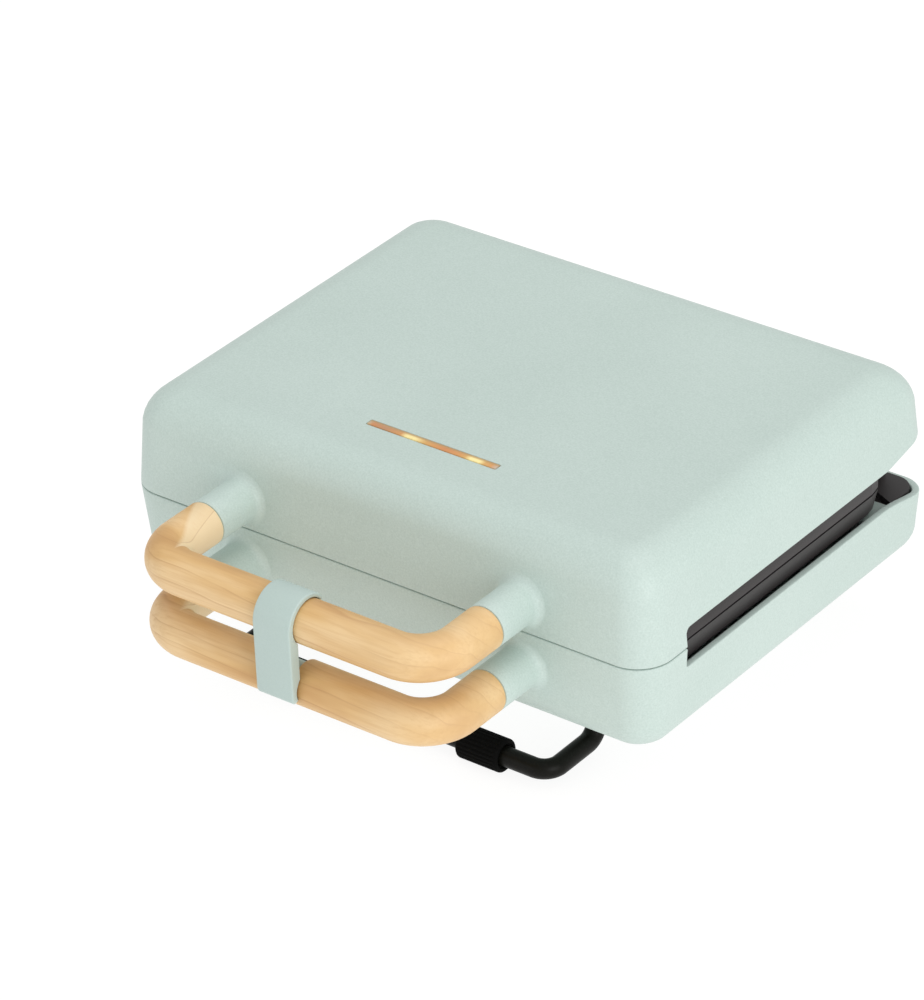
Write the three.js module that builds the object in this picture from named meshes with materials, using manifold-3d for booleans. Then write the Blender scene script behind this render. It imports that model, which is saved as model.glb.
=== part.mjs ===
// Two-shell donut maker: a base and a lid joined by a rear hinge, each holding a cast
// plate with six ring cavities over a sheathed heater.  Millimetres, +Z up, -Y the front
// (handle side), +X to the right.  Every piece is modelled about the middle of the
// casings' outline with z = 0 on the base's underside; the last group moves the whole
// object so that its origin is at the middle of its footprint, on the table.
import * as THREE from "three";
import { mergeVertices } from "three/addons/utils/BufferGeometryUtils.js";
import Module from "manifold-3d";

const wasm = await Module();
wasm.setup();

// ---------------------------------------------------------------- driving dimensions
const WIDTH = 250; // casings, side to side
const DEPTH = 192.6; // casings, front to rear
const PARTING = 40.7; // height of the plane where lid and base meet
const LID_TOP = 82.8;
const PARTING_GAP = 0.5;
const WALL = 3;
const CORNER = 15; // plan radius of the casings' corners at the parting plane
const BASE_REAR_CORNER = 12.3; // the base's two rear corners are tighter
const TOP_EDGE = 17; // radius rolled over the lid's top edge
const BOTTOM_EDGE = 12.6; // radius rolled under the base
const LID_DRAFT = 1.9; // how far the lid's walls lean in below the rolled edge
const BASE_DRAFT = 2.4;
const FIT = 0.3; // gap kept between neighbouring pieces

const NOTCH_FRONT = -71; // side openings start here and run back to the rear
const LID_RIM = 48.6; // lid's lower edge along the side openings
const BASE_RIM = 31.7; // base's upper edge along the side openings
const RIM_TURN = 64; // where the lid's edge starts to rise towards the rear
const LID_REAR_RIM = 54.6; // lid's lower edge at the rear wall
const BASE_REAR_RIM = 27; // base's upper edge at the rear wall

const HANDLE_R = 9; // round section of both handles
const HANDLE_HALF = 66.2; // half distance between the two legs of a handle
const HANDLE_BEND = 16.3; // centreline radius of the grip's corners
const HANDLE_REACH = 53.3; // from the casings' front to the grip's axis
const STUB = 20.5; // length of the moulded stub that carries a grip
const STUB_FLARE = 3.2;
const UPPER_AXIS = 53.25; // heights of the two grips' axes
const LOWER_AXIS = 25.5;
const BAR_Y = -DEPTH / 2 - HANDLE_REACH;
const JOINT_Y = -DEPTH / 2 - STUB;

const CLIP_X = 1.5; // the clip sits slightly right of the middle
const CLIP_WIDTH = 17.4;
const CLIP_WALL = 2.8;
const CLIP_FRONT = HANDLE_R + FIT + CLIP_WALL; // from the grips' axes to its flat front
const NECK_R = 5; // turned-down neck of the lower grip inside the clip's ring
const NECK_HALF = 5.2;

const FRAME_HALF_X = 121.6; // black inner frames, at the parting plane
const FRAME_FRONT = -91.6;
const FRAME_REAR = 71.9;
const FRAME_FRONT_CORNER = 11;
const FRAME_REAR_CORNER = 15;
const FRAME_LEAN = 2.2; // how far the frame's sides lean in over its depth
const FRAME_FACE = 0.4; // frame's and plate's face below or above the parting plane
const FRAME_HEIGHT = 9.6; // depth of the frame, from the parting plane
const LEDGE = 4.4; // ledge that the plate rests on
const PLATE_Y = -14.55;
const PLATE_HALF_X = 111;
const PLATE_HALF_Y = 67.55;
const PLATE_GAP = 0.4; // between the plate and its rebate
const PLATE_SKIN = 3;

const RING_PITCH_X = 72; // three columns and two rows of ring cavities
const RING_PITCH_Y = 63;
const RING_MID = 19; // radius of a ring's centreline
const RING_HALF = 11; // half the ring's width
const RING_DEPTH = 10.5;
const RING_SKIN = 2;

const HINGE_Y = 86; // hinge axis, parallel to X
const HINGE_Z = 42;
const KNUCKLE_R = 8;
const PIN_R = 3;
const LUG_IN = 97; // the base's hinge lugs, in X
const LUG_OUT = 105;

const TUBE_R = 4; // bent steel legs
const LEG_HALF = 75.6;
const LEG_POST = 62.6; // the posts' distance from the middle, front and rear
const LEG_BAR = 93.5; // the bar's distance from the middle
const LEG_AXIS = -20.9;
const LEG_BEND = 7;
const SLEEVE_R = 6.8;
const SLEEVE_IN = 36;
const SLEEVE_OUT = 55.4;
const SLEEVE_SIDES = 16;

const LENS_X = 1.5;
const LENS_Y = -61.5;
const LENS_LENGTH = 61;
const LENS_WIDTH = 3.2;

const GLAND_FACE = 97.5; // cord gland's outer face
const REAR_REACH = LEG_BAR + SLEEVE_R; // rearmost point, the rear sleeves
const FRONT_REACH = -BAR_Y + CLIP_FRONT;
const UNDERSIDE = SLEEVE_R - LEG_AXIS; // height of the base's underside over the table

// ---------------------------------------------------------------- solids
function solid(geometry) {
  const bare = geometry.clone();
  bare.deleteAttribute("normal");
  bare.deleteAttribute("uv");
  const merged = mergeVertices(bare, 1e-4);
  return new wasm.Manifold(new wasm.Mesh({
    numProp: 3,
    vertProperties: new Float32Array(merged.attributes.position.array),
    triVerts: new Uint32Array(merged.index.array),
  }));
}

function geometryOf(body) {
  const mesh = body.getMesh();
  const geometry = new THREE.BufferGeometry();
  geometry.setAttribute("position", new THREE.BufferAttribute(mesh.vertProperties, 3));
  geometry.setIndex(new THREE.BufferAttribute(mesh.triVerts, 1));
  geometry.computeVertexNormals();
  return geometry;
}

const join = (...bodies) => bodies.reduce((whole, body) => whole.add(body));
const cut = (whole, ...tools) => tools.reduce((rest, tool) => rest.subtract(tool), whole);

// box between two corners
function box([x0, y0, z0], [x1, y1, z1]) {
  const geometry = new THREE.BoxGeometry(x1 - x0, y1 - y0, z1 - z0);
  return solid(geometry.translate((x0 + x1) / 2, (y0 + y1) / 2, (z0 + z1) / 2));
}

// round bar from one point along an axis: "x", "y" or "z"
function bar(axis, radius, from, length, at, sides = 16, radiusEnd = radius) {
  const geometry = new THREE.CylinderGeometry(radiusEnd, radius, length, sides);
  geometry.translate(0, length / 2, 0);
  if (axis === "x") geometry.rotateZ(-Math.PI / 2);
  if (axis === "z") geometry.rotateX(Math.PI / 2);
  const [a, b] = at;
  const place = { x: [from, a, b], y: [a, from, b], z: [a, b, from] }[axis];
  return solid(geometry.translate(...place));
}

// outline in plan (x, y) raised from z0 to z1
function raised(shape, z0, z1, curveSegments = 6) {
  const geometry = new THREE.ExtrudeGeometry(shape, { depth: z1 - z0, bevelEnabled: false, curveSegments });
  return solid(geometry.translate(0, 0, z0));
}

// outline in the side view (y, z) carried from x0 to x1
function carried(shape, x0, x1, curveSegments = 6) {
  const geometry = new THREE.ExtrudeGeometry(shape, { depth: x1 - x0, bevelEnabled: false, curveSegments });
  const sideways = new THREE.Matrix4().makeBasis(
    new THREE.Vector3(0, 1, 0), new THREE.Vector3(0, 0, 1), new THREE.Vector3(1, 0, 0));
  return solid(geometry.applyMatrix4(sideways).translate(x0, 0, 0));
}

function polygon(points) {
  return new THREE.Shape(points.map(([u, v]) => new THREE.Vector2(u, v)));
}

function roundedRectangle(x0, y0, x1, y1, r) {
  const shape = new THREE.Shape();
  shape.moveTo(x0 + r, y0);
  shape.lineTo(x1 - r, y0);
  shape.absarc(x1 - r, y0 + r, r, -Math.PI / 2, 0);
  shape.lineTo(x1, y1 - r);
  shape.absarc(x1 - r, y1 - r, r, 0, Math.PI / 2);
  shape.lineTo(x0 + r, y1);
  shape.absarc(x0 + r, y1 - r, r, Math.PI / 2, Math.PI);
  shape.lineTo(x0, y0 + r);
  shape.absarc(x0 + r, y0 + r, r, Math.PI, 1.5 * Math.PI);
  return shape;
}

// solid lofted through level rings of points, lowest first
function loft(rings) {
  const count = rings[0].length;
  const positions = rings.flat(2);
  const index = [];
  for (let level = 0; level + 1 < rings.length; level++) {
    for (let i = 0; i < count; i++) {
      const a = level * count + i;
      const b = level * count + (i + 1) % count;
      index.push(a, b, b + count, a, b + count, a + count);
    }
  }
  const last = (rings.length - 1) * count;
  for (let i = 1; i + 1 < count; i++) {
    index.push(0, i + 1, i);
    index.push(last, last + i, last + i + 1);
  }
  const geometry = new THREE.BufferGeometry();
  geometry.setAttribute("position", new THREE.BufferAttribute(new Float32Array(positions), 3));
  geometry.setIndex(index);
  return solid(geometry);
}

// round bar along straight runs joined by bends
class BentPath extends THREE.Curve {
  constructor(corners, bend, bendSteps = 5) {
    super();
    const points = corners.map((corner) => new THREE.Vector3(...corner));
    this.stations = [[points[0], points[1].clone().sub(points[0]).normalize()]];
    for (let i = 1; i + 1 < points.length; i++) {
      const before = points[i].clone().sub(points[i - 1]).normalize();
      const after = points[i + 1].clone().sub(points[i]).normalize();
      const turn = before.angleTo(after);
      const inward = after.clone().sub(before).normalize();
      const middle = points[i].clone().addScaledVector(inward, bend / Math.cos(turn / 2));
      for (let step = 0; step <= bendSteps; step++) {
        const part = turn * (step / bendSteps - 0.5);
        const along = before.clone().add(after).normalize();
        const tangent = along.clone().multiplyScalar(Math.cos(part)).addScaledVector(inward, Math.sin(part));
        const outward = inward.clone().multiplyScalar(-Math.cos(part)).addScaledVector(along, Math.sin(part));
        this.stations.push([middle.clone().addScaledVector(outward, bend), tangent.normalize()]);
      }
    }
    const end = points.length - 1;
    this.stations.push([points[end], points[end].clone().sub(points[end - 1]).normalize()]);
  }

  station(u) {
    return this.stations[Math.round(u * (this.stations.length - 1))];
  }

  getPointAt(u) {
    return this.station(u)[0].clone();
  }

  getTangentAt(u) {
    return this.station(u)[1].clone();
  }
}

function bentBar(corners, bend, radius, sides, bendSteps = 5) {
  const path = new BentPath(corners, bend, bendSteps);
  const section = new THREE.Shape();
  section.absarc(0, 0, radius, 0, 2 * Math.PI);
  const steps = path.stations.length - 1;
  return solid(new THREE.ExtrudeGeometry(section, { steps, extrudePath: path, curveSegments: sides / 2 }));
}

// ring cavity or the bulge around it: half an ellipse turned about a vertical axis, its
// opening at z = 0 and its bottom at z = -depth
function ringTrough(half, depth, rise, segments) {
  const steps = 5;
  const profile = [];
  for (let step = 0; step <= steps; step++) {
    const angle = Math.PI * (1 + step / steps);
    profile.push(new THREE.Vector2(RING_MID + half * Math.cos(angle), depth * Math.sin(angle)));
  }
  profile.push(new THREE.Vector2(RING_MID + half, rise));
  profile.push(new THREE.Vector2(RING_MID - half, rise));
  profile.push(profile[0].clone());
  return new THREE.LatheGeometry(profile, segments).rotateX(Math.PI / 2);
}

// ---------------------------------------------------------------- casings
const HALVES = {
  lid: { far: LID_TOP, edge: TOP_EDGE, draft: LID_DRAFT, up: 1, rearCorner: CORNER },
  base: { far: 0, edge: BOTTOM_EDGE, draft: BASE_DRAFT, up: -1, rearCorner: BASE_REAR_CORNER },
};

function insetOnWall(half, z) {
  const straightEnd = half.far - half.up * half.edge;
  return half.draft * (z - PARTING) / (straightEnd - PARTING);
}

// level ring of points round a rectangle, -x to x and front to rear, with rounded corners
function levelRing(x, front, rear, frontCorner, rearCorner, z, steps = 4) {
  const ring = [];
  for (let quarter = 0; quarter < 4; quarter++) {
    const sx = quarter === 0 || quarter === 3 ? 1 : -1;
    const corner = quarter < 2 ? rearCorner : frontCorner;
    const middle = quarter < 2 ? rear - corner : front + corner;
    for (let step = 0; step <= steps; step++) {
      const angle = (quarter + step / steps) * Math.PI / 2;
      ring.push([sx * (x - corner) + corner * Math.cos(angle), middle + corner * Math.sin(angle), z]);
    }
  }
  return ring;
}

// solid of a casing half, shrunk by `wall` on every side; the open end starts at `start`
function casingBody(half, wall, start) {
  const rounding = 5;
  const most = half.draft + half.edge;
  const cornerAt = (corner, inset) => Math.max(corner * (1 - 0.6 * Math.max(inset, 0) / most) - wall, 2);
  const levels = [[insetOnWall(half, start), start]];
  for (let step = 0; step <= rounding; step++) {
    const angle = (step / rounding) * Math.PI / 2;
    const inset = half.draft + (half.edge - wall) * (1 - Math.cos(angle));
    const z = half.far - half.up * (half.edge - (half.edge - wall) * Math.sin(angle));
    levels.push([inset, z]);
  }
  const rings = levels.map(([inset, z]) => {
    const shrink = inset + wall;
    return levelRing(
      WIDTH / 2 - shrink, shrink - DEPTH / 2, DEPTH / 2 - shrink,
      cornerAt(CORNER, inset), cornerAt(half.rearCorner, inset), z);
  });
  if (half.up < 0) rings.reverse();
  return loft(rings);
}

function shell(half) {
  const edge = PARTING + half.up * PARTING_GAP / 2;
  return casingBody(half, 0, edge).subtract(casingBody(half, WALL, edge - half.up * 2));
}

// height of the base's rim: level along the side, then down to the rear in an S
function baseRimCurve(shape) {
  shape.lineTo(60, BASE_RIM);
  shape.bezierCurveTo(72, BASE_RIM, 82, BASE_REAR_RIM, 95, BASE_REAR_RIM);
  shape.lineTo(DEPTH / 2 + 4, BASE_REAR_RIM);
}

function aboveBaseRim() {
  const shape = new THREE.Shape();
  shape.moveTo(NOTCH_FRONT, BASE_RIM);
  baseRimCurve(shape);
  shape.lineTo(DEPTH / 2 + 4, PARTING + 20);
  shape.lineTo(NOTCH_FRONT, PARTING + 20);
  return carried(shape, -WIDTH, WIDTH, 8);
}

const rearRise = (y) => LID_RIM + (LID_REAR_RIM - LID_RIM) * (y - RIM_TURN) / (DEPTH / 2 - RIM_TURN);

function belowLidRim() {
  const corner = 2.5;
  const end = DEPTH / 2 + 4;
  const shape = new THREE.Shape();
  shape.moveTo(NOTCH_FRONT, PARTING - 10);
  shape.lineTo(end, PARTING - 10);
  shape.lineTo(end, rearRise(end));
  shape.lineTo(RIM_TURN, LID_RIM);
  shape.lineTo(NOTCH_FRONT + corner, LID_RIM);
  shape.absarc(NOTCH_FRONT + corner, LID_RIM - corner, corner, Math.PI / 2, Math.PI);
  return carried(shape, -WIDTH, WIDTH, 4);
}

// stub that carries a grip: flared root in the wall, flat end at the grip
function stub(x, z) {
  const root = 2; // hidden in the wall
  const profile = [new THREE.Vector2(0, -root), new THREE.Vector2(HANDLE_R + STUB_FLARE, -root)];
  for (let step = 0; step <= 3; step++) {
    const angle = (step / 3) * Math.PI / 2;
    profile.push(new THREE.Vector2(
      HANDLE_R + STUB_FLARE * (1 - Math.sin(angle)),
      1 + STUB_FLARE * (1 - Math.cos(angle))));
  }
  profile.push(new THREE.Vector2(HANDLE_R, STUB), new THREE.Vector2(0, STUB));
  const geometry = new THREE.LatheGeometry(profile, 16).rotateX(Math.PI);
  return solid(geometry.translate(x, -DEPTH / 2, z));
}

const SCREW_R = 2.2;
const SCREW_BORE = 2.6;
const HANDLE_SCREW_TIP = -134;

function stubBore(x, z) {
  const from = -DEPTH / 2 - STUB - 3;
  return bar("y", SCREW_BORE, from, STUB + 12, [x, z], 12);
}

const CASE_SCREWS = { front: [40, -85.8], rear: [60, 74] };

function lidCover() {
  const lid = HALVES.lid;
  let body = shell(lid).subtract(belowLidRim());
  const inner = casingBody(lid, WALL - 1, PARTING + 1);
  for (const side of [-1, 1]) {
    const x = side * HANDLE_HALF;
    const above = box([x - 20, JOINT_Y - 1, PARTING + PARTING_GAP / 2], [x + 20, -80, LID_TOP]);
    body = join(body, stub(x, UPPER_AXIS).intersect(above)).subtract(stubBore(x, UPPER_AXIS));
    // bosses that take the screws of the inner frame
    for (const [end, [bx, by]] of Object.entries(CASE_SCREWS)) {
      const foot = end === "front" ? PARTING + FRAME_HEIGHT + FIT : 55;
      const boss = bar("z", 4.6, foot, 30, [side * bx, by], 12).intersect(inner);
      body = join(body, boss).subtract(bar("z", 2.2, foot - 1, 12, [side * bx, by], 8));
    }
    // posts that hold the lamp board
    const post = bar("z", 3, LAMP_BOARD_Z + 1.6 + FIT, 12, [LENS_X + side * 27, LENS_Y + 11], 10);
    body = join(body, post.intersect(inner));
  }
  return body.subtract(lensStrip(FIT, LID_TOP - 6, LID_TOP + 2));
}

function baseCover() {
  const base = HALVES.base;
  let body = shell(base).subtract(aboveBaseRim());
  const inner = casingBody(base, WALL - 1, PARTING);
  for (const side of [-1, 1]) {
    const x = side * HANDLE_HALF;
    const below = box([x - 20, JOINT_Y - 1, 0], [x + 20, -80, PARTING - PARTING_GAP / 2]);
    body = join(body, stub(x, LOWER_AXIS).intersect(below)).subtract(stubBore(x, LOWER_AXIS));
    for (const [bx, by] of Object.values(CASE_SCREWS)) {
      const at = [side * bx, by];
      body = join(body, bar("z", 6, 1, 7, at, 12).intersect(inner));
      body = cut(body, bar("z", 4, -1, 4.2, at, 12), bar("z", SCREW_BORE, 2, 9, at, 8));
    }
    // shelf behind the frame's rounded corner
    const shelf = box([Math.min(side * 109, side * 124), 57, 25.2], [Math.max(side * 109, side * 124), 72.2, 27.6]);
    body = join(body, shelf.intersect(inner));
    // hinge block boss
    const hinge = [side * HINGE_BLOCK_X, HINGE_BLOCK_Y];
    body = join(body, bar("z", 6.5, 1, HINGE_BLOCK_Z - FIT - 1, hinge, 12));
    body = cut(body, bar("z", 4, -1, 11, hinge, 12), bar("z", SCREW_BORE, 8, 14, hinge, 8));
    // sockets for the legs' posts
    for (const end of [-1, 1]) {
      const post = [side * LEG_HALF, end * LEG_POST];
      body = join(body, bar("z", 8, 1, SOCKET_TOP - 1, post, 16));
      body = body.subtract(bar("z", TUBE_R + FIT, -1, SOCKET_TOP + 2, post, 16));
    }
  }
  return body.subtract(bar("y", GLAND_NECK_R + FIT, DEPTH / 2 - 12, 16, [0, GLAND_Z], 16));
}

// ---------------------------------------------------------------- inner frames and plates
const SOCKET_TOP = 10;
const HINGE_BLOCK_X = 109;
const HINGE_BLOCK_Y = 78;
const HINGE_BLOCK_Z = 20;
const HINGE_PLATE_TOP = 28.5;
const SHELF_TOP = 26.4;
const SHELF_HALF_X = 94;
const LAMP_BOARD_Z = 70;
const GLAND_Z = 16;
const GLAND_NECK_R = 5;
const SLEEVE_X = -30; // supply sleeve between base and lid

// Pieces that both halves share are made with z as the distance from the parting plane,
// then turned over for the base or lifted for the lid.
function placeHalf(geometry, up) {
  if (up > 0) return geometry.translate(0, 0, PARTING);
  const flipped = geometry.scale(1, 1, -1).translate(0, 0, PARTING);
  const order = flipped.index.array;
  for (let i = 0; i < order.length; i += 3) [order[i], order[i + 1]] = [order[i + 1], order[i]];
  return flipped;
}

function frameRing() {
  const outer = loft([[0, FRAME_FACE], [FRAME_LEAN, FRAME_HEIGHT]].map(([lean, z]) => levelRing(
    FRAME_HALF_X - lean, FRAME_FRONT + lean, FRAME_REAR - lean,
    FRAME_FRONT_CORNER - lean, FRAME_REAR_CORNER - lean, z)));
  const window = (grow) => roundedRectangle(
    -PLATE_HALF_X - grow, PLATE_Y - PLATE_HALF_Y - grow, PLATE_HALF_X + grow, PLATE_Y + PLATE_HALF_Y + grow, 3);
  const rebate = raised(window(PLATE_GAP), -1, FRAME_FACE + PLATE_SKIN + 0.4, 2);
  const hole = raised(window(PLATE_GAP - LEDGE), -1, FRAME_HEIGHT + 1, 2);
  return cut(outer, rebate, hole);
}

function baseInnerFrame() {
  const ring = solid(placeHalf(geometryOf(frameRing()), -1));
  const bottom = PARTING - FRAME_HEIGHT;
  const shelf = box([-SHELF_HALF_X, 58.5, SHELF_TOP - 2.4], [SHELF_HALF_X, 91, SHELF_TOP]);
  const riser = box([-SHELF_HALF_X, 58.5, SHELF_TOP - 2.4], [SHELF_HALF_X, 64, bottom + 1]);
  let frame = join(ring, shelf, riser);
  for (const side of [-1, 1]) {
    for (const [bx, by] of Object.values(CASE_SCREWS)) {
      const top = by < 0 ? bottom + 1 : SHELF_TOP - 1;
      const at = [side * bx, by];
      frame = join(frame, bar("z", 3.5, 8 + FIT, top - 8 - FIT, at, 10));
      frame = frame.subtract(bar("z", 2.2, 7, 14, at, 8));
    }
  }
  return frame.subtract(bar("z", 4, SHELF_TOP - 4, 6, [SLEEVE_X, HINGE_Y], 12));
}

// underside of the lid's rear panel
const panelUnder = (y) => rearRise(y) + 1.2;

function lidInnerFrame() {
  const ring = solid(placeHalf(geometryOf(frameRing()), 1));
  const rear = DEPTH / 2 - 5.4;
  const slope = polygon([
    [60, panelUnder(60)],
    [rear, panelUnder(rear)],
    [rear, panelUnder(rear) + 2.2],
    [60, panelUnder(60) + 2.2],
  ]);
  const reach = FRAME_HALF_X - FRAME_LEAN - 0.2;
  const corners = raised(roundedRectangle(-reach, 20, reach, rear, 10), PARTING, LID_TOP);
  let frame = join(ring, carried(slope, -reach, reach).intersect(corners));
  for (const side of [-1, 1]) {
    const [fx, fy] = CASE_SCREWS.front;
    const [rx, ry] = CASE_SCREWS.rear;
    frame = cut(
      frame,
      bar("z", 3.6, PARTING, 4.2, [side * fx, fy], 12),
      bar("z", SCREW_BORE - 0.2, PARTING, 14, [side * fx, fy], 8),
      bar("z", SCREW_BORE - 0.2, PARTING + 8, 14, [side * rx, ry], 8),
      bar("y", 5, FRAME_FRONT - 1, 4.2, [side * HANDLE_HALF, UPPER_AXIS], 12));
  }
  return frame.subtract(bar("z", 4, PARTING + 8, 12, [SLEEVE_X, HINGE_Y], 12));
}

const PLATE_SCREW_X = 103;

function donutPlate(up) {
  const face = FRAME_FACE;
  const half = [PLATE_HALF_X, PLATE_HALF_Y];
  const slab = raised(
    roundedRectangle(-half[0], PLATE_Y - half[1], half[0], PLATE_Y + half[1], 2.6), face, face + PLATE_SKIN, 2);
  const place = (geometry, x, y) => {
    const turned = geometry.clone().rotateX(Math.PI).translate(x, PLATE_Y + y, face);
    return solid(turned);
  };
  const bulge = ringTrough(RING_HALF + RING_SKIN, RING_DEPTH + RING_SKIN, -1, 14);
  const cavity = ringTrough(RING_HALF, RING_DEPTH, 1, 14);
  let plate = slab;
  const spots = [];
  for (const column of [-1, 0, 1]) {
    for (const row of [-0.5, 0.5]) spots.push([column * RING_PITCH_X, row * RING_PITCH_Y]);
  }
  for (const [x, y] of spots) plate = plate.add(place(bulge, x, y));
  for (const [x, y] of spots) plate = plate.subtract(place(cavity, x, y));
  for (const side of [-1, 1]) {
    const at = [side * PLATE_SCREW_X, PLATE_Y];
    plate = join(plate, bar("z", 3.6, face + PLATE_SKIN - 1, 7, at, 10));
    plate = plate.subtract(bar("z", 1.8, face + PLATE_SKIN, 9, at, 8));
  }
  return placeHalf(geometryOf(plate), up);
}

const HEATER_DEPTH = 17.8; // heater's axis, from the parting plane
const HEATER_R = 3.2;
const TRAY_DEPTH = 24.7; // reflector's floor
const TRAY_SKIN = 0.8;

function heater(up) {
  const far = PLATE_Y - 50;
  const near = PLATE_Y + 50;
  const tail = PLATE_Y + 71;
  const z = HEATER_DEPTH;
  const loop = bentBar([
    [-14, tail, z], [-14, near, z], [-74, near, z], [-74, far, z],
    [74, far, z], [74, near, z], [14, near, z], [14, tail, z],
  ], 12, HEATER_R, 8, 4);
  return placeHalf(geometryOf(loop), up);
}

function reflector(up) {
  const inside = PLATE_GAP - LEDGE - 0.6; // clear of the frame's window
  const x = PLATE_HALF_X + inside;
  const y0 = PLATE_Y - PLATE_HALF_Y - inside;
  const y1 = PLATE_Y + PLATE_HALF_Y + inside;
  const top = FRAME_HEIGHT + FIT;
  const lip = 3.4;
  const tray = box([-x, y0, top], [x, y1, TRAY_DEPTH]);
  const flange = box([-x - lip, y0 - lip, top], [x + lip, y1 + lip, top + TRAY_SKIN]);
  const hollow = box(
    [-x + TRAY_SKIN, y0 + TRAY_SKIN, top - 1],
    [x - TRAY_SKIN, y1 - TRAY_SKIN, TRAY_DEPTH - TRAY_SKIN]);
  let pan = cut(join(tray, flange), hollow);
  for (const side of [-1, 1]) {
    const slot = box(
      [side * 14 - 5, y1 - 3, HEATER_DEPTH - 5],
      [side * 14 + 5, y1 + 3, HEATER_DEPTH + 5]);
    pan = cut(pan, slot, bar("z", 2, TRAY_DEPTH - 3, 6, [side * PLATE_SCREW_X, PLATE_Y], 8));
    // saddle that the heater's long run rests on
    const saddle = box(
      [side * 74 - 6, PLATE_Y - 4, HEATER_DEPTH + HEATER_R + FIT],
      [side * 74 + 6, PLATE_Y + 4, TRAY_DEPTH - TRAY_SKIN + 0.1]);
    pan = pan.add(saddle);
  }
  return placeHalf(geometryOf(pan), up);
}

// ---------------------------------------------------------------- hinge
// A plate that fills the base's rear corner, on a block screwed to the base's boss, with
// the lug that carries the hinge pin.
function hingeBlock(side) {
  const cornerPiece = (reach, rear, corner, front, z0, z1) => {
    const outline = new THREE.Shape(front.map(([x, y]) => new THREE.Vector2(x, y)));
    outline.lineTo(reach, rear - corner);
    outline.absarc(reach - corner, rear - corner, corner, 0, Math.PI / 2);
    outline.lineTo(LUG_IN, rear);
    return raised(outline, z0, z1, 5);
  };
  let block = join(
    cornerPiece(119.4, 90.9, 8.5, [[LUG_IN, 73], [119.4, 73]], HINGE_BLOCK_Z, 26),
    cornerPiece(120.3, 91.7, 9, [[LUG_IN, 78.6], [107, 78.6], [112.5, 76.2], [120.3, 72.6]], 25.6, HINGE_PLATE_TOP));
  const column = box([LUG_IN, HINGE_Y - KNUCKLE_R, HINGE_BLOCK_Z + 2], [LUG_OUT, 91.2, HINGE_Z]);
  block = join(block, column, bar("x", KNUCKLE_R, LUG_IN, LUG_OUT - LUG_IN, [HINGE_Y, HINGE_Z], 20));
  block = cut(
    block,
    bar("x", PIN_R + FIT, LUG_IN - 1, LUG_OUT - LUG_IN + 2, [HINGE_Y, HINGE_Z], 12),
    bar("z", 2.2, HINGE_BLOCK_Z - 1, 7, [HINGE_BLOCK_X, HINGE_BLOCK_Y], 8));
  return mirrorX(block, side);
}

function hingeArm(side) {
  const from = LUG_IN - 0.4 - 10.2;
  const top = (y) => panelUnder(y) - FIT;
  const shape = new THREE.Shape();
  shape.moveTo(72.4, top(72.4));
  shape.lineTo(72.4, top(72.4) - 3.5);
  shape.lineTo(HINGE_Y - KNUCKLE_R * 0.94, HINGE_Z + KNUCKLE_R * 0.34);
  shape.absarc(HINGE_Y, HINGE_Z, KNUCKLE_R, Math.PI * 0.89, Math.PI * 2.11);
  shape.lineTo(90.5, top(90.5) - 3.5);
  shape.lineTo(90.5, top(90.5));
  const arm = carried(shape, from, LUG_IN - 0.4, 10);
  return mirrorX(arm.subtract(bar("x", PIN_R + FIT, from - 1, 14, [HINGE_Y, HINGE_Z], 12)), side);
}

function hingePin(side) {
  const at = [HINGE_Y, HINGE_Z];
  const shank = bar("x", PIN_R, 85, LUG_OUT - 85 + FIT + 0.5, at, 12);
  return mirrorX(join(shank, bar("x", 5, LUG_OUT + FIT, 1.8, at, 16)), side);
}

function mirrorX(body, side) {
  if (side > 0) return body;
  const geometry = geometryOf(body).scale(-1, 1, 1);
  const order = geometry.index.array;
  for (let i = 0; i < order.length; i += 3) [order[i], order[i + 1]] = [order[i + 1], order[i]];
  return solid(geometry);
}

// heat-resistant sleeve that carries the lid's wires past the hinge axis
function supplySleeve() {
  const from = SHELF_TOP + FIT;
  return bar("z", 2.8, from, panelUnder(HINGE_Y) - FIT - from - 0.7, [SLEEVE_X, HINGE_Y], 10);
}

// ---------------------------------------------------------------- handles and clip
function grip(z) {
  const end = JOINT_Y - FIT;
  const x = HANDLE_HALF;
  let wood = bentBar([[-x, end, z], [-x, BAR_Y, z], [x, BAR_Y, z], [x, end, z]], HANDLE_BEND, HANDLE_R, 16, 5);
  for (const side of [-1, 1]) {
    wood = wood.subtract(bar("y", SCREW_BORE, HANDLE_SCREW_TIP - 1, 20, [side * x, z], 12));
  }
  return wood;
}

function lowerGrip() {
  const z = LOWER_AXIS;
  const from = CLIP_X - NECK_HALF;
  const ring = bar("x", HANDLE_R + 2, from, 2 * NECK_HALF, [BAR_Y, z], 20);
  const neck = bar("x", NECK_R, from - 1, 2 * NECK_HALF + 2, [BAR_Y, z], 16);
  return grip(z).subtract(ring.subtract(neck));
}

function handleScrew(side, z) {
  const x = side * HANDLE_HALF;
  const seat = -DEPTH / 2 + 5.1;
  return join(
    bar("y", SCREW_R, HANDLE_SCREW_TIP, seat - HANDLE_SCREW_TIP, [x, z], 10),
    bar("y", 4.2, seat - 0.1, 2, [x, z], 12));
}

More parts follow.
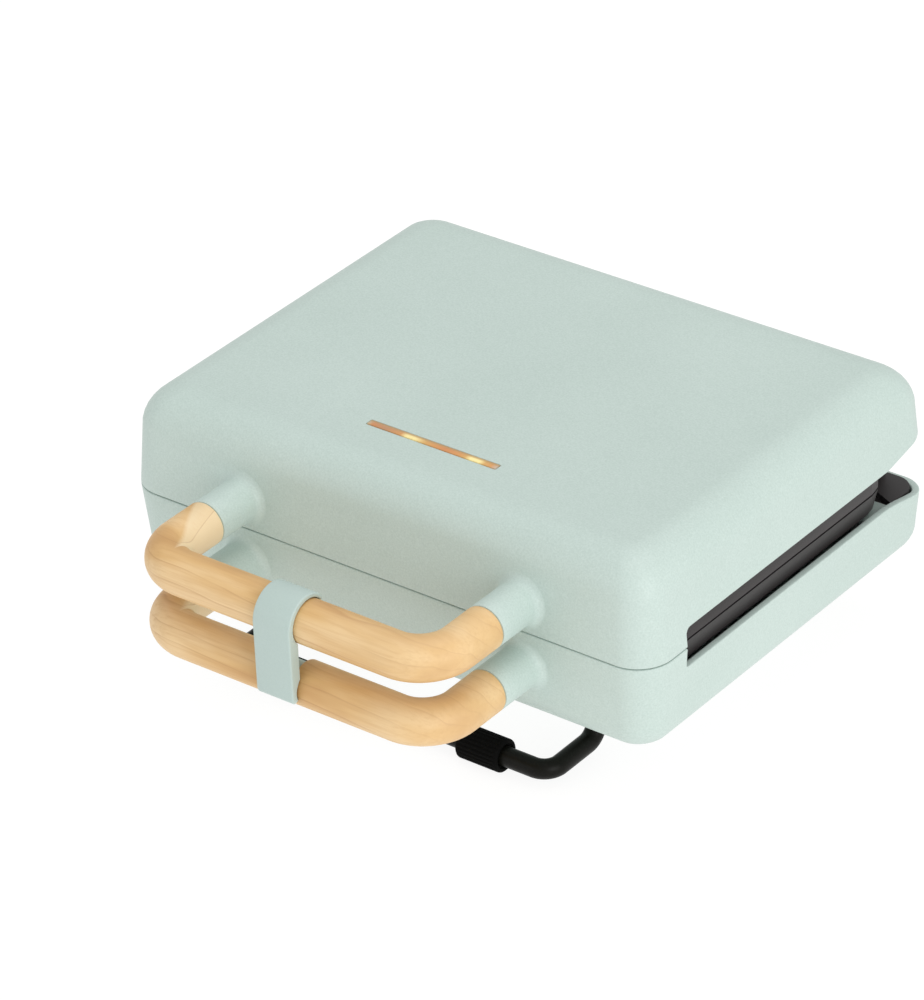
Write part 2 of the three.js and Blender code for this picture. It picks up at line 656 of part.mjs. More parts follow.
// Flexible clip: its ring turns on the lower grip's neck, its flat front wall stands
// before both grips and its hook closes over the top of the upper one.
function clip() {
  const inner = HANDLE_R + FIT;
  const back = BAR_Y - 6.9; // inner face of the thicker wall between the grips
  const open = Math.acos((BAR_Y - back) / inner);
  const hookEnd = THREE.MathUtils.degToRad(35);
  const outline = new THREE.Shape();
  const lowEnd = THREE.MathUtils.degToRad(200);
  outline.moveTo(BAR_Y + inner * Math.cos(lowEnd), LOWER_AXIS + inner * Math.sin(lowEnd));
  outline.absarc(BAR_Y, LOWER_AXIS, inner, lowEnd, Math.PI - open, true);
  outline.lineTo(back, UPPER_AXIS - inner * Math.sin(open));
  outline.absarc(BAR_Y, UPPER_AXIS, inner, Math.PI + open, hookEnd, true);
  // the hook thins towards its tip
  const steps = 12;
  for (let step = 0; step <= steps; step++) {
    const angle = hookEnd + (Math.PI - hookEnd) * (step / steps);
    const thick = CLIP_WALL * (0.45 + 0.55 * Math.sqrt(step / steps));
    outline.lineTo(BAR_Y + (inner + thick) * Math.cos(angle), UPPER_AXIS + (inner + thick) * Math.sin(angle));
  }
  const heel = 2.4; // rounded lower end of the wall
  const heelZ = 24.2;
  outline.lineTo(BAR_Y - CLIP_FRONT, heelZ);
  outline.absarc(BAR_Y - CLIP_FRONT + heel, heelZ, heel, Math.PI, 1.5 * Math.PI);
  const half = CLIP_WIDTH / 2;
  const wall = carried(outline, CLIP_X - half, CLIP_X + half, 12);
  const inside = NECK_HALF - FIT;
  const ring = bar("x", 7.2, CLIP_X - inside, 2 * inside, [BAR_Y, LOWER_AXIS], 20);
  const hole = bar("x", NECK_R + FIT, CLIP_X - 20, 40, [BAR_Y, LOWER_AXIS], 16);
  const web = box(
    [CLIP_X - inside, BAR_Y - inner - 0.6, LOWER_AXIS - 3],
    [CLIP_X + inside, BAR_Y - NECK_R - 1, LOWER_AXIS + 3]);
  return join(wall, join(ring, web).subtract(hole));
}

// ---------------------------------------------------------------- legs
function leg(end) {
  const top = SOCKET_TOP + 4;
  const [x, post, across] = [LEG_HALF, end * LEG_POST, end * LEG_BAR];
  return bentBar([
    [-x, post, top], [-x, post, LEG_AXIS], [-x, across, LEG_AXIS],
    [x, across, LEG_AXIS], [x, post, LEG_AXIS], [x, post, top],
  ], LEG_BEND, TUBE_R, 12, 5);
}

// rubber sleeve; one flat of its outside lies on the table
function legSleeve(side, end) {
  const from = side > 0 ? SLEEVE_IN : -SLEEVE_OUT;
  const length = SLEEVE_OUT - SLEEVE_IN;
  const radius = SLEEVE_R / Math.cos(Math.PI / SLEEVE_SIDES);
  const outside = new THREE.CylinderGeometry(radius, radius, length, SLEEVE_SIDES);
  outside.rotateY(Math.PI / SLEEVE_SIDES).rotateZ(-Math.PI / 2);
  outside.translate(from + length / 2, end * LEG_BAR, LEG_AXIS);
  const bore = bar("x", TUBE_R + FIT, from - 1, length + 2, [end * LEG_BAR, LEG_AXIS], 16);
  return solid(outside).subtract(bore);
}

function legRetainer(side, end) {
  const at = [side * LEG_HALF, end * LEG_POST];
  return bar("z", 6.6, SOCKET_TOP + FIT, 2.2, at, 14).subtract(bar("z", TUBE_R + 0.4, SOCKET_TOP, 4, at, 14));
}

// ---------------------------------------------------------------- electrical pieces
function thermostat() {
  const at = [36, PLATE_Y];
  const top = PARTING - FRAME_FACE - PLATE_SKIN - FIT;
  const cup = bar("z", 8, top - 4, 4, at, 18);
  const body = box([at[0] - 7, at[1] - 6, top - 11], [at[0] + 7, at[1] + 6, top - 3.5]);
  return join(cup, body);
}

function thermalFuse() {
  const z = PARTING - FRAME_FACE - PLATE_SKIN - 3.4;
  const at = [PLATE_Y, z];
  return join(bar("x", 3, -43, 14, at, 12), bar("x", 0.8, -48, 24, at, 8));
}

function terminalBlock() {
  let block = box([-13, 66, WALL + FIT], [13, 78, WALL + FIT + 10]);
  for (const x of [-8, 0, 8]) {
    block = block.subtract(bar("z", 2, WALL + FIT + 5, 6, [x, 72], 8));
  }
  return block;
}

function cordGland() {
  const wallAt = (z) => DEPTH / 2 - insetOnWall(HALVES.base, z);
  const at = [0, GLAND_Z];
  const inside = wallAt(GLAND_Z) - WALL - 1.2;
  const face = wallAt(GLAND_Z + 8) + FIT;
  const neck = bar("y", GLAND_NECK_R, inside - 3, face - inside + 4, at, 16);
  const flange = bar("y", 8, face, GLAND_FACE - face, at, 20, 6.4);
  const nut = bar("y", 6.8, inside - 2.4, 2.4, at, 6);
  return join(neck, flange, nut).subtract(bar("y", 3.4, inside - 6, 20, at, 12));
}

// strip seen in the lid's top
function lensStrip(grow, z0, z1) {
  const x = LENS_LENGTH / 2 + grow;
  const y = LENS_WIDTH / 2 + grow;
  return box([LENS_X - x, LENS_Y - y, z0], [LENS_X + x, LENS_Y + y, z1]);
}

function indicatorLens() {
  const under = LID_TOP - WALL - FIT;
  const strip = lensStrip(0, under - 1, LID_TOP + 0.1);
  const flange = box(
    [LENS_X - LENS_LENGTH / 2 - 3, LENS_Y - 4, under - 1.6],
    [LENS_X + LENS_LENGTH / 2 + 3, LENS_Y + 4, under]);
  return join(strip, flange);
}

function lampBoard() {
  return box([LENS_X - 32, LENS_Y - 6, LAMP_BOARD_Z], [LENS_X + 32, LENS_Y + 14, LAMP_BOARD_Z + 1.6]);
}

function lamp(x) {
  const foot = LAMP_BOARD_Z + 1.6 + FIT;
  const tip = LID_TOP - WALL - 2.6;
  return join(bar("z", 2.9, foot, 1.2, [x, LENS_Y], 14), bar("z", 2.4, foot + 1, tip - foot - 1, [x, LENS_Y], 12, 1.6));
}

// ---------------------------------------------------------------- screws
function panScrew(at, headFrom, headHeight, tip, headR = 3.2, shankR = 1.8) {
  const up = Math.sign(tip - headFrom);
  const low = Math.min(headFrom, headFrom + up * headHeight);
  const head = bar("z", headR, low, headHeight, at, 10);
  const shank = bar("z", shankR, Math.min(headFrom + up * 0.5, tip), Math.abs(tip - headFrom) - 0.5, at, 6);
  return join(head, shank);
}

function plateScrew(side, up) {
  const far = TRAY_DEPTH + FIT;
  const head = bar("z", 3.4, far, 2.2, [side * PLATE_SCREW_X, PLATE_Y], 12);
  const tip = FRAME_FACE + PLATE_SKIN + 1;
  const shank = bar("z", 1.5, tip, far + 1 - tip, [side * PLATE_SCREW_X, PLATE_Y], 8);
  return placeHalf(geometryOf(join(head, shank)), up);
}

// ---------------------------------------------------------------- assembly
const FINISH = {
  mint: { color: 0xc6d6ce, roughness: 0.5, metalness: 0 },
  wood: { color: 0xe4bd84, roughness: 0.5, metalness: 0 },
  black: { color: 0x3a3638, roughness: 0.45, metalness: 0 },
  nonStick: { color: 0x2b2a2a, roughness: 0.4, metalness: 0.3 },
  blackSteel: { color: 0x191917, roughness: 0.4, metalness: 0.2 },
  rubber: { color: 0x141414, roughness: 0.85, metalness: 0 },
  steel: { color: 0xb9bcc0, roughness: 0.35, metalness: 1 },
  sheath: { color: 0x6f7274, roughness: 0.55, metalness: 0.8 },
  aluminium: { color: 0xc9cccf, roughness: 0.3, metalness: 1 },
  amber: { color: 0xc87f45, roughness: 0.25, metalness: 0.1 },
  ceramic: { color: 0xe8e4d8, roughness: 0.6, metalness: 0 },
  board: { color: 0x4d6b45, roughness: 0.6, metalness: 0 },
  glass: { color: 0xffe9a8, roughness: 0.1, metalness: 0 },
};

const object = new THREE.Group();
object.position.set(0, (FRONT_REACH - REAR_REACH) / 2, UNDERSIDE);

function piece(parent, name, finish, shape) {
  const geometry = shape.isBufferGeometry ? shape : geometryOf(shape);
  const material = new THREE.MeshStandardMaterial({ ...FINISH[finish], flatShading: true });
  const mesh = new THREE.Mesh(geometry, material);
  mesh.name = name;
  parent.add(mesh);
}

const SIDES = [["left", -1], ["right", 1]];
const ENDS = [["front", -1], ["rear", 1]];

function buildBase() {
  const group = new THREE.Group();
  piece(group, "base_cover", "mint", baseCover());
  piece(group, "base_inner_frame", "black", baseInnerFrame());
  piece(group, "lower_donut_plate", "nonStick", donutPlate(-1));
  piece(group, "lower_heating_element", "sheath", heater(-1));
  piece(group, "lower_heat_reflector", "aluminium", reflector(-1));
  piece(group, "lower_handle_grip", "wood", lowerGrip());
  piece(group, "thermostat", "ceramic", thermostat());
  piece(group, "thermal_fuse", "steel", thermalFuse());
  piece(group, "terminal_block", "ceramic", terminalBlock());
  piece(group, "cord_gland", "black", cordGland());
  for (const [sideName, side] of SIDES) {
    piece(group, `hinge_block_${sideName}`, "black", hingeBlock(side));
    piece(group, `hinge_pin_${sideName}`, "steel", hingePin(side));
    const hinge = [side * HINGE_BLOCK_X, HINGE_BLOCK_Y];
    piece(group, `hinge_block_screw_${sideName}`, "steel", panScrew(hinge, 7, 2.6, 25));
    piece(group, `lower_handle_screw_${sideName}`, "steel", handleScrew(side, LOWER_AXIS));
    piece(group, `lower_plate_screw_${sideName}`, "steel", plateScrew(side, -1));
    for (const [endName, [x, y]] of Object.entries(CASE_SCREWS)) {
      piece(group, `base_screw_${endName}_${sideName}`, "steel", panScrew([side * x, y], 0.3, 2.6, 19));
    }
    for (const [endName, end] of ENDS) {
      piece(group, `leg_sleeve_${endName}_${sideName}`, "rubber", legSleeve(side, end));
      piece(group, `leg_retainer_${endName}_${sideName}`, "steel", legRetainer(side, end));
    }
  }
  for (const [endName, end] of ENDS) piece(group, `${endName}_leg`, "blackSteel", leg(end));
  return group;
}

function buildLid() {
  const group = new THREE.Group();
  piece(group, "lid_cover", "mint", lidCover());
  piece(group, "lid_inner_frame", "black", lidInnerFrame());
  piece(group, "upper_donut_plate", "nonStick", donutPlate(1));
  piece(group, "upper_heating_element", "sheath", heater(1));
  piece(group, "upper_heat_reflector", "aluminium", reflector(1));
  piece(group, "upper_handle_grip", "wood", grip(UPPER_AXIS));
  piece(group, "indicator_lens", "amber", indicatorLens());
  piece(group, "lamp_board", "board", lampBoard());
  piece(group, "power_lamp", "glass", lamp(LENS_X - 9));
  piece(group, "ready_lamp", "glass", lamp(LENS_X + 18.5));
  piece(group, "supply_sleeve", "ceramic", supplySleeve());
  for (const [sideName, side] of SIDES) {
    piece(group, `hinge_arm_${sideName}`, "black", hingeArm(side));
    piece(group, `upper_handle_screw_${sideName}`, "steel", handleScrew(side, UPPER_AXIS));
    piece(group, `upper_plate_screw_${sideName}`, "steel", plateScrew(side, 1));
    const [fx, fy] = CASE_SCREWS.front;
    const [rx, ry] = CASE_SCREWS.rear;
    piece(group, `lid_screw_front_${sideName}`, "steel", panScrew([side * fx, fy], PARTING + 1, 2.6, 61));
    piece(group, `lid_screw_rear_${sideName}`, "steel", panScrew([side * rx, ry], 48.3, 2.2, 65.4));
  }
  return group;
}

object.add(buildBase(), buildLid());
piece(object, "handle_clip", "mint", clip());

export default object;
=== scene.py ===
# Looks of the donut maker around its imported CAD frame.  Shapes are worked out in
# millimetres about the middle of the casings' outline, with z = 0 on the base's
# underside, and are moved into the frame as they are made.
import math

import bmesh
import bpy
import numpy as np
from mathutils import Matrix, Vector
from mathutils.geometry import delaunay_2d_cdt


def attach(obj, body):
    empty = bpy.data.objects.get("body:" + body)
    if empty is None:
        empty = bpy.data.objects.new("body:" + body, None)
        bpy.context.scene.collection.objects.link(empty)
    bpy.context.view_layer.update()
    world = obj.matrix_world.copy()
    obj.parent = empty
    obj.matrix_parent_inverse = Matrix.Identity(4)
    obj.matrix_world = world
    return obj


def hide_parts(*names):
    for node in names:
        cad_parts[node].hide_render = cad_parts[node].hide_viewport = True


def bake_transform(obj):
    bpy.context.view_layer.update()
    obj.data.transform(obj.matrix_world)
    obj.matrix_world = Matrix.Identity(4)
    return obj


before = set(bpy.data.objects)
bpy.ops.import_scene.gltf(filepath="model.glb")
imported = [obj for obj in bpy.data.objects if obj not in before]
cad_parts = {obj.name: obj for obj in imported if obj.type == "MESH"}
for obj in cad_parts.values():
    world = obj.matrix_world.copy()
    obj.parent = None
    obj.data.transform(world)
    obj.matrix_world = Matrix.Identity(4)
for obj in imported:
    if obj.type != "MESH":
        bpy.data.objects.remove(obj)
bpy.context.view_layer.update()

# -------------------- dimensions, mm
MM = 0.001
ORIGIN = np.array((0.0, 30.7, 27.7))  # the casings' own origin in the frame
UPWARDS = (0, 0, 1)
SIDES = (("left", -1), ("right", 1))
ENDS = (("front", -1), ("rear", 1))

# casings: outline, height of the parting gap's middle and of the lid's top; then the wall,
# the front corners' radius in plan, the gap, and the level border round the flat faces
WIDTH, DEPTH, PARTING, LID_TOP = 250.0, 192.6, 40.7, 82.8
WALL, CORNER, GAP, BORDER = 3.0, 15.0, 0.5, 1.5
# height of the flat face, rounding of its edge, lean of the wall up to the rounding,
# way from the parting, and the rear corners' radius in plan
LID = {"far": LID_TOP, "edge": 17.0, "draft": 1.9, "up": 1, "rear": 15.0}
BASE = {"far": 0.0, "edge": 12.6, "draft": 2.4, "up": -1, "rear": 12.3}
# side openings: front end with its rounded corner; each rim's height in front and at the
# rear, where it starts to climb or the steps of its fall, and its hollow corner's radius
NOTCH_FRONT, NOTCH_CORNER = -71.0, 0.7
LID_RIM, LID_REAR_RIM, RIM_TURN, LID_HOLLOW = 48.6, 54.6, 64.0, 2.5
BASE_RIM, BASE_REAR_RIM, BASE_FALL, BASE_HOLLOW = 31.7, 27.0, (60, 72, 82, 95), 1.2
# about how far a point moves over each section of the outline, in the order of plan_point
SECTION_LENGTH = (110, 23.6, 164, 21, -110)
# places (x, y) of the casings' and the hinge blocks' screws on the right-hand side
CASE_SCREWS = {"front": (40.0, -85.8), "rear": (60.0, 74.0)}
HINGE_SCREW = (109.0, 78.0)
LENS = (-29.0, 32.0, -63.1, -59.9)  # indicator: left, right, front, rear

# handles and their clip
HANDLE_R, HANDLE_HALF, BEND, STUB_LENGTH, STUB_BORE = 9.0, 66.2, 16.3, 20.5, 2.7
BAR_Y, JOINT_Y = -149.6, -116.8
UPPER_AXIS, LOWER_AXIS = 53.25, 25.5
CLIP_X, CLIP_HALF, CLIP_WALL, CLIP_PLAY, NECK_HALF, NECK_R = 1.5, 8.7, 2.8, 0.3, 5.2, 5.0

# legs of bent tube with their sleeves, and the holes that take them
TUBE_R, LEG_HALF, LEG_POST, LEG_BAR, LEG_AXIS, LEG_BEND = 4.0, 75.6, 62.6, 93.5, -20.9, 7.0
TUBE_HOLE, LEG_TOP = 4.3, 14.0
SLEEVE_R, SLEEVE_LENGTH, SLEEVE_RIGHT, SLEEVE_LEFT = 6.8, 19.4, 36.0, -55.4
RIBS, RIB_DEPTH = 24, 0.42

# donut plates: middle and half size of the outline, then the rings' places and section
PLATE_Y, PLATE_X2, PLATE_Y2, PLATE_CORNER = -14.55, 111.0, 67.55, 2.6
PLATE_FACE, PLATE_BACK, PLATE_SCREW = 0.4, 3.4, 103.0
RING_STEP_X, RING_STEP_Y, RING_RIM = 72.0, 31.5, 0.7
RING_MID, RING_HALF, RING_DEPTH, RING_SKIN, RING_SIDE = 19.0, 11.0, 10.5, 2.0, 1.6

HINGE = (86.0, 42.0)  # the pins' axis as (y, z)
GLAND_Z = 16.0  # height of the cord gland's axis
WIRES, WIRES_R = (-30.0, 86.0), 2.55  # the wire sleeve's place (x, y) and radius


# -------------------- mesh helpers
def opened(mesh, merge):
    """Working copy of a mesh, its points joined where they lie closer than merge."""
    work = bmesh.new()
    work.from_mesh(mesh)
    bmesh.ops.remove_doubles(work, verts=work.verts, dist=merge)
    return work


def closed_up(work, mesh):
    """Writes a working copy back with all its faces turned outwards."""
    bmesh.ops.recalc_face_normals(work, faces=work.faces)
    work.to_mesh(mesh)
    work.free()


def placed(verts):
    """Points in millimetres about the casings' origin as points of the frame."""
    return [tuple(p) for p in (np.asarray(verts, float) + ORIGIN) * MM]


def new_mesh(name, verts, faces):
    mesh = bpy.data.meshes.new(name)
    mesh.from_pydata(verts, [], faces)
    return mesh


def add_object(name, data):
    obj = bpy.data.objects.new(name, data)
    bpy.context.scene.collection.objects.link(obj)
    return obj


def add_piece(name, body, material, replaces, builder, sharp=38.0):
    """Closed mesh of a builder's shells, riding on a body."""
    mesh = new_mesh(name, placed(builder.verts), builder.faces)
    work = opened(mesh, 2e-6)
    bmesh.ops.dissolve_degenerate(work, dist=1e-6, edges=work.edges)
    closed_up(work, mesh)
    finish_piece(name, body, material, replaces, mesh, sharp)


def finish_piece(name, body, material, replaces, mesh, sharp):
    mesh.shade_smooth()
    mesh.set_sharp_from_angle(angle=math.radians(sharp))
    obj = add_object(name, mesh)
    obj.data.materials.clear()
    obj.data.materials.append(material)
    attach(obj, body)
    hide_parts(replaces)


class Builder:
    """Collects closed shells of points and faces into one piece."""

    def __init__(self):
        self.verts, self.faces = [], []

    def add(self, verts, faces):
        start = len(self.verts)
        self.verts.extend([tuple(v) for v in verts])
        self.faces.extend([tuple(start + i for i in f) for f in faces])

    def grid(self, rows, caps=True):
        """Closed rings of equal length joined into a skin; caps close both ends."""
        n = len(rows[0])
        verts = [p for row in rows for p in row]
        faces = []
        for k in range(len(rows) - 1):
            for i in range(n):
                j = (i + 1) % n
                faces.append((k * n + i, k * n + j, (k + 1) * n + j, (k + 1) * n + i))
        if caps:
            faces.append(tuple(range(n))[::-1])
            faces.append(tuple((len(rows) - 1) * n + i for i in range(n)))
        self.add(verts, faces)


def away_from(axis):
    """Main direction that is not near an axis."""
    return np.array((0, 0, 1.0)) if abs(axis[2]) < 0.9 else np.array((1.0, 0, 0))


def square_to(axis):
    """Two directions square to an axis and to each other."""
    u = np.cross(axis, away_from(axis))
    u /= np.linalg.norm(u)
    return u, np.cross(axis, u)


def lathe(profile, origin, axis, segments):
    """Rings about an axis from (radius, distance) pairs."""
    a = np.array(axis, float)
    u, v = square_to(a)
    turns = np.linspace(0, 2 * math.pi, segments, endpoint=False)
    return [
        [np.array(origin) + a * d + r * (math.cos(t) * u + math.sin(t) * v) for t in turns]
        for r, d in profile
    ]


def turned(builder, profile, origin, axis, segments=40):
    """Solid of revolution; the profile's ends are closed flat."""
    builder.grid(lathe(profile, origin, axis, segments))


def ring_solid(builder, profile, origin, axis, segments=40):
    """Revolved closed loop, such as a sleeve with a bore."""
    builder.grid(lathe(profile + profile[:1], origin, axis, segments), caps=False)


def round_ring(r_in, r_out, d0, d1, edge):
    """Closed profile of a washer or sleeve with softened rims."""
    e, f = edge, 0.3 * edge
    return [
        (r_in + e, d0), (r_out - e, d0), (r_out - f, d0 + f), (r_out, d0 + e),
        (r_out, d1 - e), (r_out - f, d1 - f), (r_out - e, d1), (r_in + e, d1),
        (r_in + f, d1 - f), (r_in, d1 - e), (r_in, d0 + e), (r_in + f, d0 + f),
    ]


def bent_path(places, bend, arc_steps, straight_steps):
    """Stations (point, direction) along straight runs joined by square bends."""
    pts = [np.array(c, float) for c in places]
    ways = [(b - a) / np.linalg.norm(b - a) for a, b in zip(pts, pts[1:])]
    out = []
    start = pts[0]
    for i, d in enumerate(ways):
        last = i == len(ways) - 1
        stop = pts[i + 1] - (0 if last else d * bend)
        for k in range(straight_steps + last):
            out.append((start + (stop - start) * k / straight_steps, d))
        if not last:
            e = ways[i + 1]
            centre = stop + e * bend
            for k in range(arc_steps + 1):
                a = math.pi / 2 * k / arc_steps
                out.append((centre - e * bend * math.cos(a) + d * bend * math.sin(a),
                            d * math.cos(a) + e * math.sin(a)))
            start = pts[i + 1] + e * bend
    # a bend starts and ends where a straight run does: one station is enough there
    clean = out[:1]
    for p in out[1:]:
        if np.linalg.norm(p[0] - clean[-1][0]) > 1e-4:
            clean.append(p)
    return clean


def swept(stations, segments):
    """Rings of a round section carried without twist along (point, direction, radius)."""
    d = stations[0][1]
    u = away_from(d)
    u = u - d * u.dot(d)
    u /= np.linalg.norm(u)
    turns = np.linspace(0, 2 * math.pi, segments, endpoint=False)
    rows = []
    for p, t, r in stations:
        u = u - t * u.dot(t)
        u /= np.linalg.norm(u)
        v = np.cross(t, u)
        rows.append([p + r * (math.cos(a) * u + math.sin(a) * v) for a in turns])
    return rows


def carried_outline(builder, outline, x0, x1, edge, steps=2):
    """Outline of (y, z) points carried along X, its rims rounded."""
    pts = np.array(outline, float)
    area = 0.5 * np.sum(pts[:, 0] * np.roll(pts[:, 1], -1) - np.roll(pts[:, 0], -1) * pts[:, 1])
    if area < 0:
        pts = pts[::-1]
    before = pts - np.roll(pts, 1, 0)
    after = np.roll(pts, -1, 0) - pts
    before /= np.linalg.norm(before, axis=1)[:, None]
    after /= np.linalg.norm(after, axis=1)[:, None]
    n1 = np.stack((-before[:, 1], before[:, 0]), 1)
    n2 = np.stack((-after[:, 1], after[:, 0]), 1)
    m = n1 + n2
    inward = m / np.maximum((m * n1).sum(1), 0.6)[:, None]
    rows = []
    for x, way in ((x0, 1), (x1, -1)):
        part = []
        for k in range(steps + 1):
            a = math.pi / 2 * k / steps
            shrunk = pts + inward * edge * (1 - math.sin(a))
            part.append([(x + way * edge * (1 - math.cos(a)), y, z) for y, z in shrunk])
        rows.extend(part if way > 0 else part[::-1])
    builder.grid(rows)


def arc(cx, cy, r, a0, a1, steps):
    """Points of an arc between two angles in degrees."""
    turns = [math.radians(a0 + (a1 - a0) * k / steps) for k in range(steps + 1)]
    return [(cx + r * math.cos(a), cy + r * math.sin(a)) for a in turns]


def rounded_rect(x0, y0, x1, y1, r, steps):
    centres = ((x1 - r, y0 + r), (x1 - r, y1 - r), (x0 + r, y1 - r), (x0 + r, y0 + r))
    return [p for k, (x, y) in enumerate(centres) for p in arc(x, y, r, 90 * k - 90, 90 * k, steps)]


def circle(cx, cy, r, n=40):
    turns = [2 * math.pi * k / n for k in range(n)]
    return [(cx + r * math.cos(a), cy + r * math.sin(a)) for a in turns]


def flat_with_holes(builder, outer, holes, z):
    """Flat triangles between an outline and its holes, all at one height."""
    points, loops = [], []
    for loop in [outer] + holes:
        area = sum(a[0] * b[1] - b[0] * a[1] for a, b in zip(loop, loop[1:] + loop[:1]))
        start = len(points)
        points += [Vector((x, y)) for x, y in (loop if area > 0 else loop[::-1])]
        loops.append(list(range(start, len(points))))
    verts, _, faces, _, _, sources = delaunay_2d_cdt(points, [], loops, 1, 1e-6, True)
    kept = [face for face, source in zip(faces, sources) if list(source) == [0]]
    builder.add([(p.x, p.y, z) for p in verts], kept)


def through_hole(builder, loop_at, z_out, z_in, edge=0.35):
    """Wall of a hole between two flat faces; loop_at(grow) is its outline, grown."""
    way = 1 if z_in > z_out else -1
    levels = [(edge + 0.5, z_out), (edge, z_out), (0.3 * edge, z_out + way * 0.3 * edge),
              (0, z_out + way * edge), (0, z_in)]
    rows = [[(x, y, z) for x, y in loop_at(g)] for g, z in levels]
    builder.grid(rows, caps=False)


# -------------------- casings
def base_rim(y):
    """Height of the base's upper edge along the side openings: level, then one soft fall."""
    y0, y1, y2, y3 = BASE_FALL
    if y <= y0:
        return BASE_RIM
    if y >= y3:
        return BASE_REAR_RIM
    low, high = 0.0, 1.0
    for _ in range(30):
        t = (low + high) / 2
        s = 1 - t
        place = y0 * s ** 3 + 3 * y1 * t * s ** 2 + 3 * y2 * t * t * s + y3 * t ** 3
        low, high = (t, high) if place < y else (low, t)
    front = (1 - t) ** 3 + 3 * t * (1 - t) ** 2
    return BASE_RIM * front + BASE_REAR_RIM * (1 - front)


def lid_rim(y):
    """Height of the lid's lower edge along the side openings; it climbs to the rear."""
    return LID_RIM + (LID_REAR_RIM - LID_RIM) * max(y - RIM_TURN, 0) / (DEPTH / 2 - RIM_TURN)


def wall_inset(half, z):
    """How far the leaning wall stands in from the parting's outline at a height."""
    start = half["far"] - half["up"] * half["edge"]
    return half["draft"] * (z - PARTING) / (start - PARTING)


def corners(half, inset, depth=0.0):
    """Plan radii of the front and rear corners, tighter with inset and with depth."""
    taper, least = 0.6, 2.0
    part = 1 - taper * max(inset, 0) / (half["draft"] + half["edge"])
    return max(CORNER * part - depth, least), max(half["rear"] * part - depth, least)


def plan_point(section, u, inset, radii):
    """Point of the outline: front, front corner, side, rear corner, rear."""
    front, rear = radii
    hx, hy = WIDTH / 2 - inset, DEPTH / 2 - inset
    if section == 0:
        return u * (hx - front), -hy
    if section == 1:
        a = (u - 1) * math.pi / 2
        return hx - front + front * math.cos(a), -hy + front + front * math.sin(a)
    if section == 2:
        return hx, -hy + front + (2 * hy - front - rear) * u
    if section == 3:
        a = u * math.pi / 2
        return hx - rear + rear * math.cos(a), hy - rear + rear * math.sin(a)
    return (hx - rear) * (1 - u), hy


def skin_point(half, section, u, z, depth):
    """Point of the wall, at a depth under its outside."""
    inset = wall_inset(half, z)
    x, y = plan_point(section, u, inset + depth, corners(half, inset, depth))
    return (x, y, z)


def rounding_point(half, section, u, turn, depth):
    """Point of the rounding between the wall and the flat face."""
    r = half["edge"] - depth
    outside = half["draft"] + half["edge"] * (1 - math.cos(turn))
    inset = half["draft"] + depth + r * (1 - math.cos(turn))
    x, y = plan_point(section, u, inset, corners(half, outside, depth))
    return (x, y, half["far"] - half["up"] * (half["edge"] - r * math.sin(turn)))


def rim_columns(half):
    """Half of the casing's rim, front middle to rear middle: section, place, height,
    direction into the wall's face, and the place where its column meets the rounding."""
    up = half["up"]
    edge = PARTING + up * GAP / 2
    rim, level, hollow = (lid_rim, LID_RIM, LID_HOLLOW) if up > 0 else (base_rim, BASE_RIM, BASE_HOLLOW)
    columns = [(section, k / 12, edge, (0, up), k / 12) for section in (0, 1) for k in range(12)]

    def along(y, inset):
        front, rear = corners(half, inset)
        hy = DEPTH / 2 - inset
        return (y + hy - front) / (2 * hy - front - rear)

    def side(y, z, way, y_top):
        return (2, along(y, wall_inset(half, z)), z, way, along(y_top, half["draft"]))

    # round the opening's front end the columns spread apart towards the casing's rounding
    start = NOTCH_FRONT - NOTCH_CORNER
    for y in (-81.0, -78.5, -75.5, -73.2):
        columns.append(side(y, edge, (0, up), y))
    for k in range(5):
        a = math.pi / 2 * k / 4
        columns.append(side(start + NOTCH_CORNER * math.sin(a),
                            edge + up * NOTCH_CORNER * (1 - math.cos(a)),
                            (-math.sin(a), up * math.cos(a)), start - 0.6 + 0.4 * k / 4))
    z0 = edge + up * NOTCH_CORNER
    z1 = level - up * hollow
    for k in (1, 2, 3):
        columns.append(side(NOTCH_FRONT, z0 + (z1 - z0) * k / 3.5, (-1, 0), start - 0.2 + 0.6 * k / 3))
    for k in range(7):
        a = math.pi / 2 * k / 6
        columns.append(side(NOTCH_FRONT + hollow * (1 - math.cos(a)), z1 + up * hollow * math.sin(a),
                            (-math.cos(a), up * math.sin(a)),
                            NOTCH_FRONT - 0.2 + (hollow + 0.2) * k / 6))
    for y in list(np.linspace(-66, 50, 15)) + list(np.linspace(54, 81.0, 15)):
        slope = rim(y + 0.5) - rim(y - 0.5)
        n = math.hypot(1, slope)
        columns.append(side(y, rim(y), (-up * slope / n, up / n), y))
    for k in range(1, 14):
        u = k / 14
        z = rim(90)
        for _ in range(4):
            inset = wall_inset(half, z)
            z = rim(plan_point(3, u, inset, corners(half, inset))[1])
        columns.append((3, u, z, (0, up), u))
    for k in range(13):
        columns.append((4, k / 12, rim(DEPTH / 2), (0, up), k / 12))
    return columns


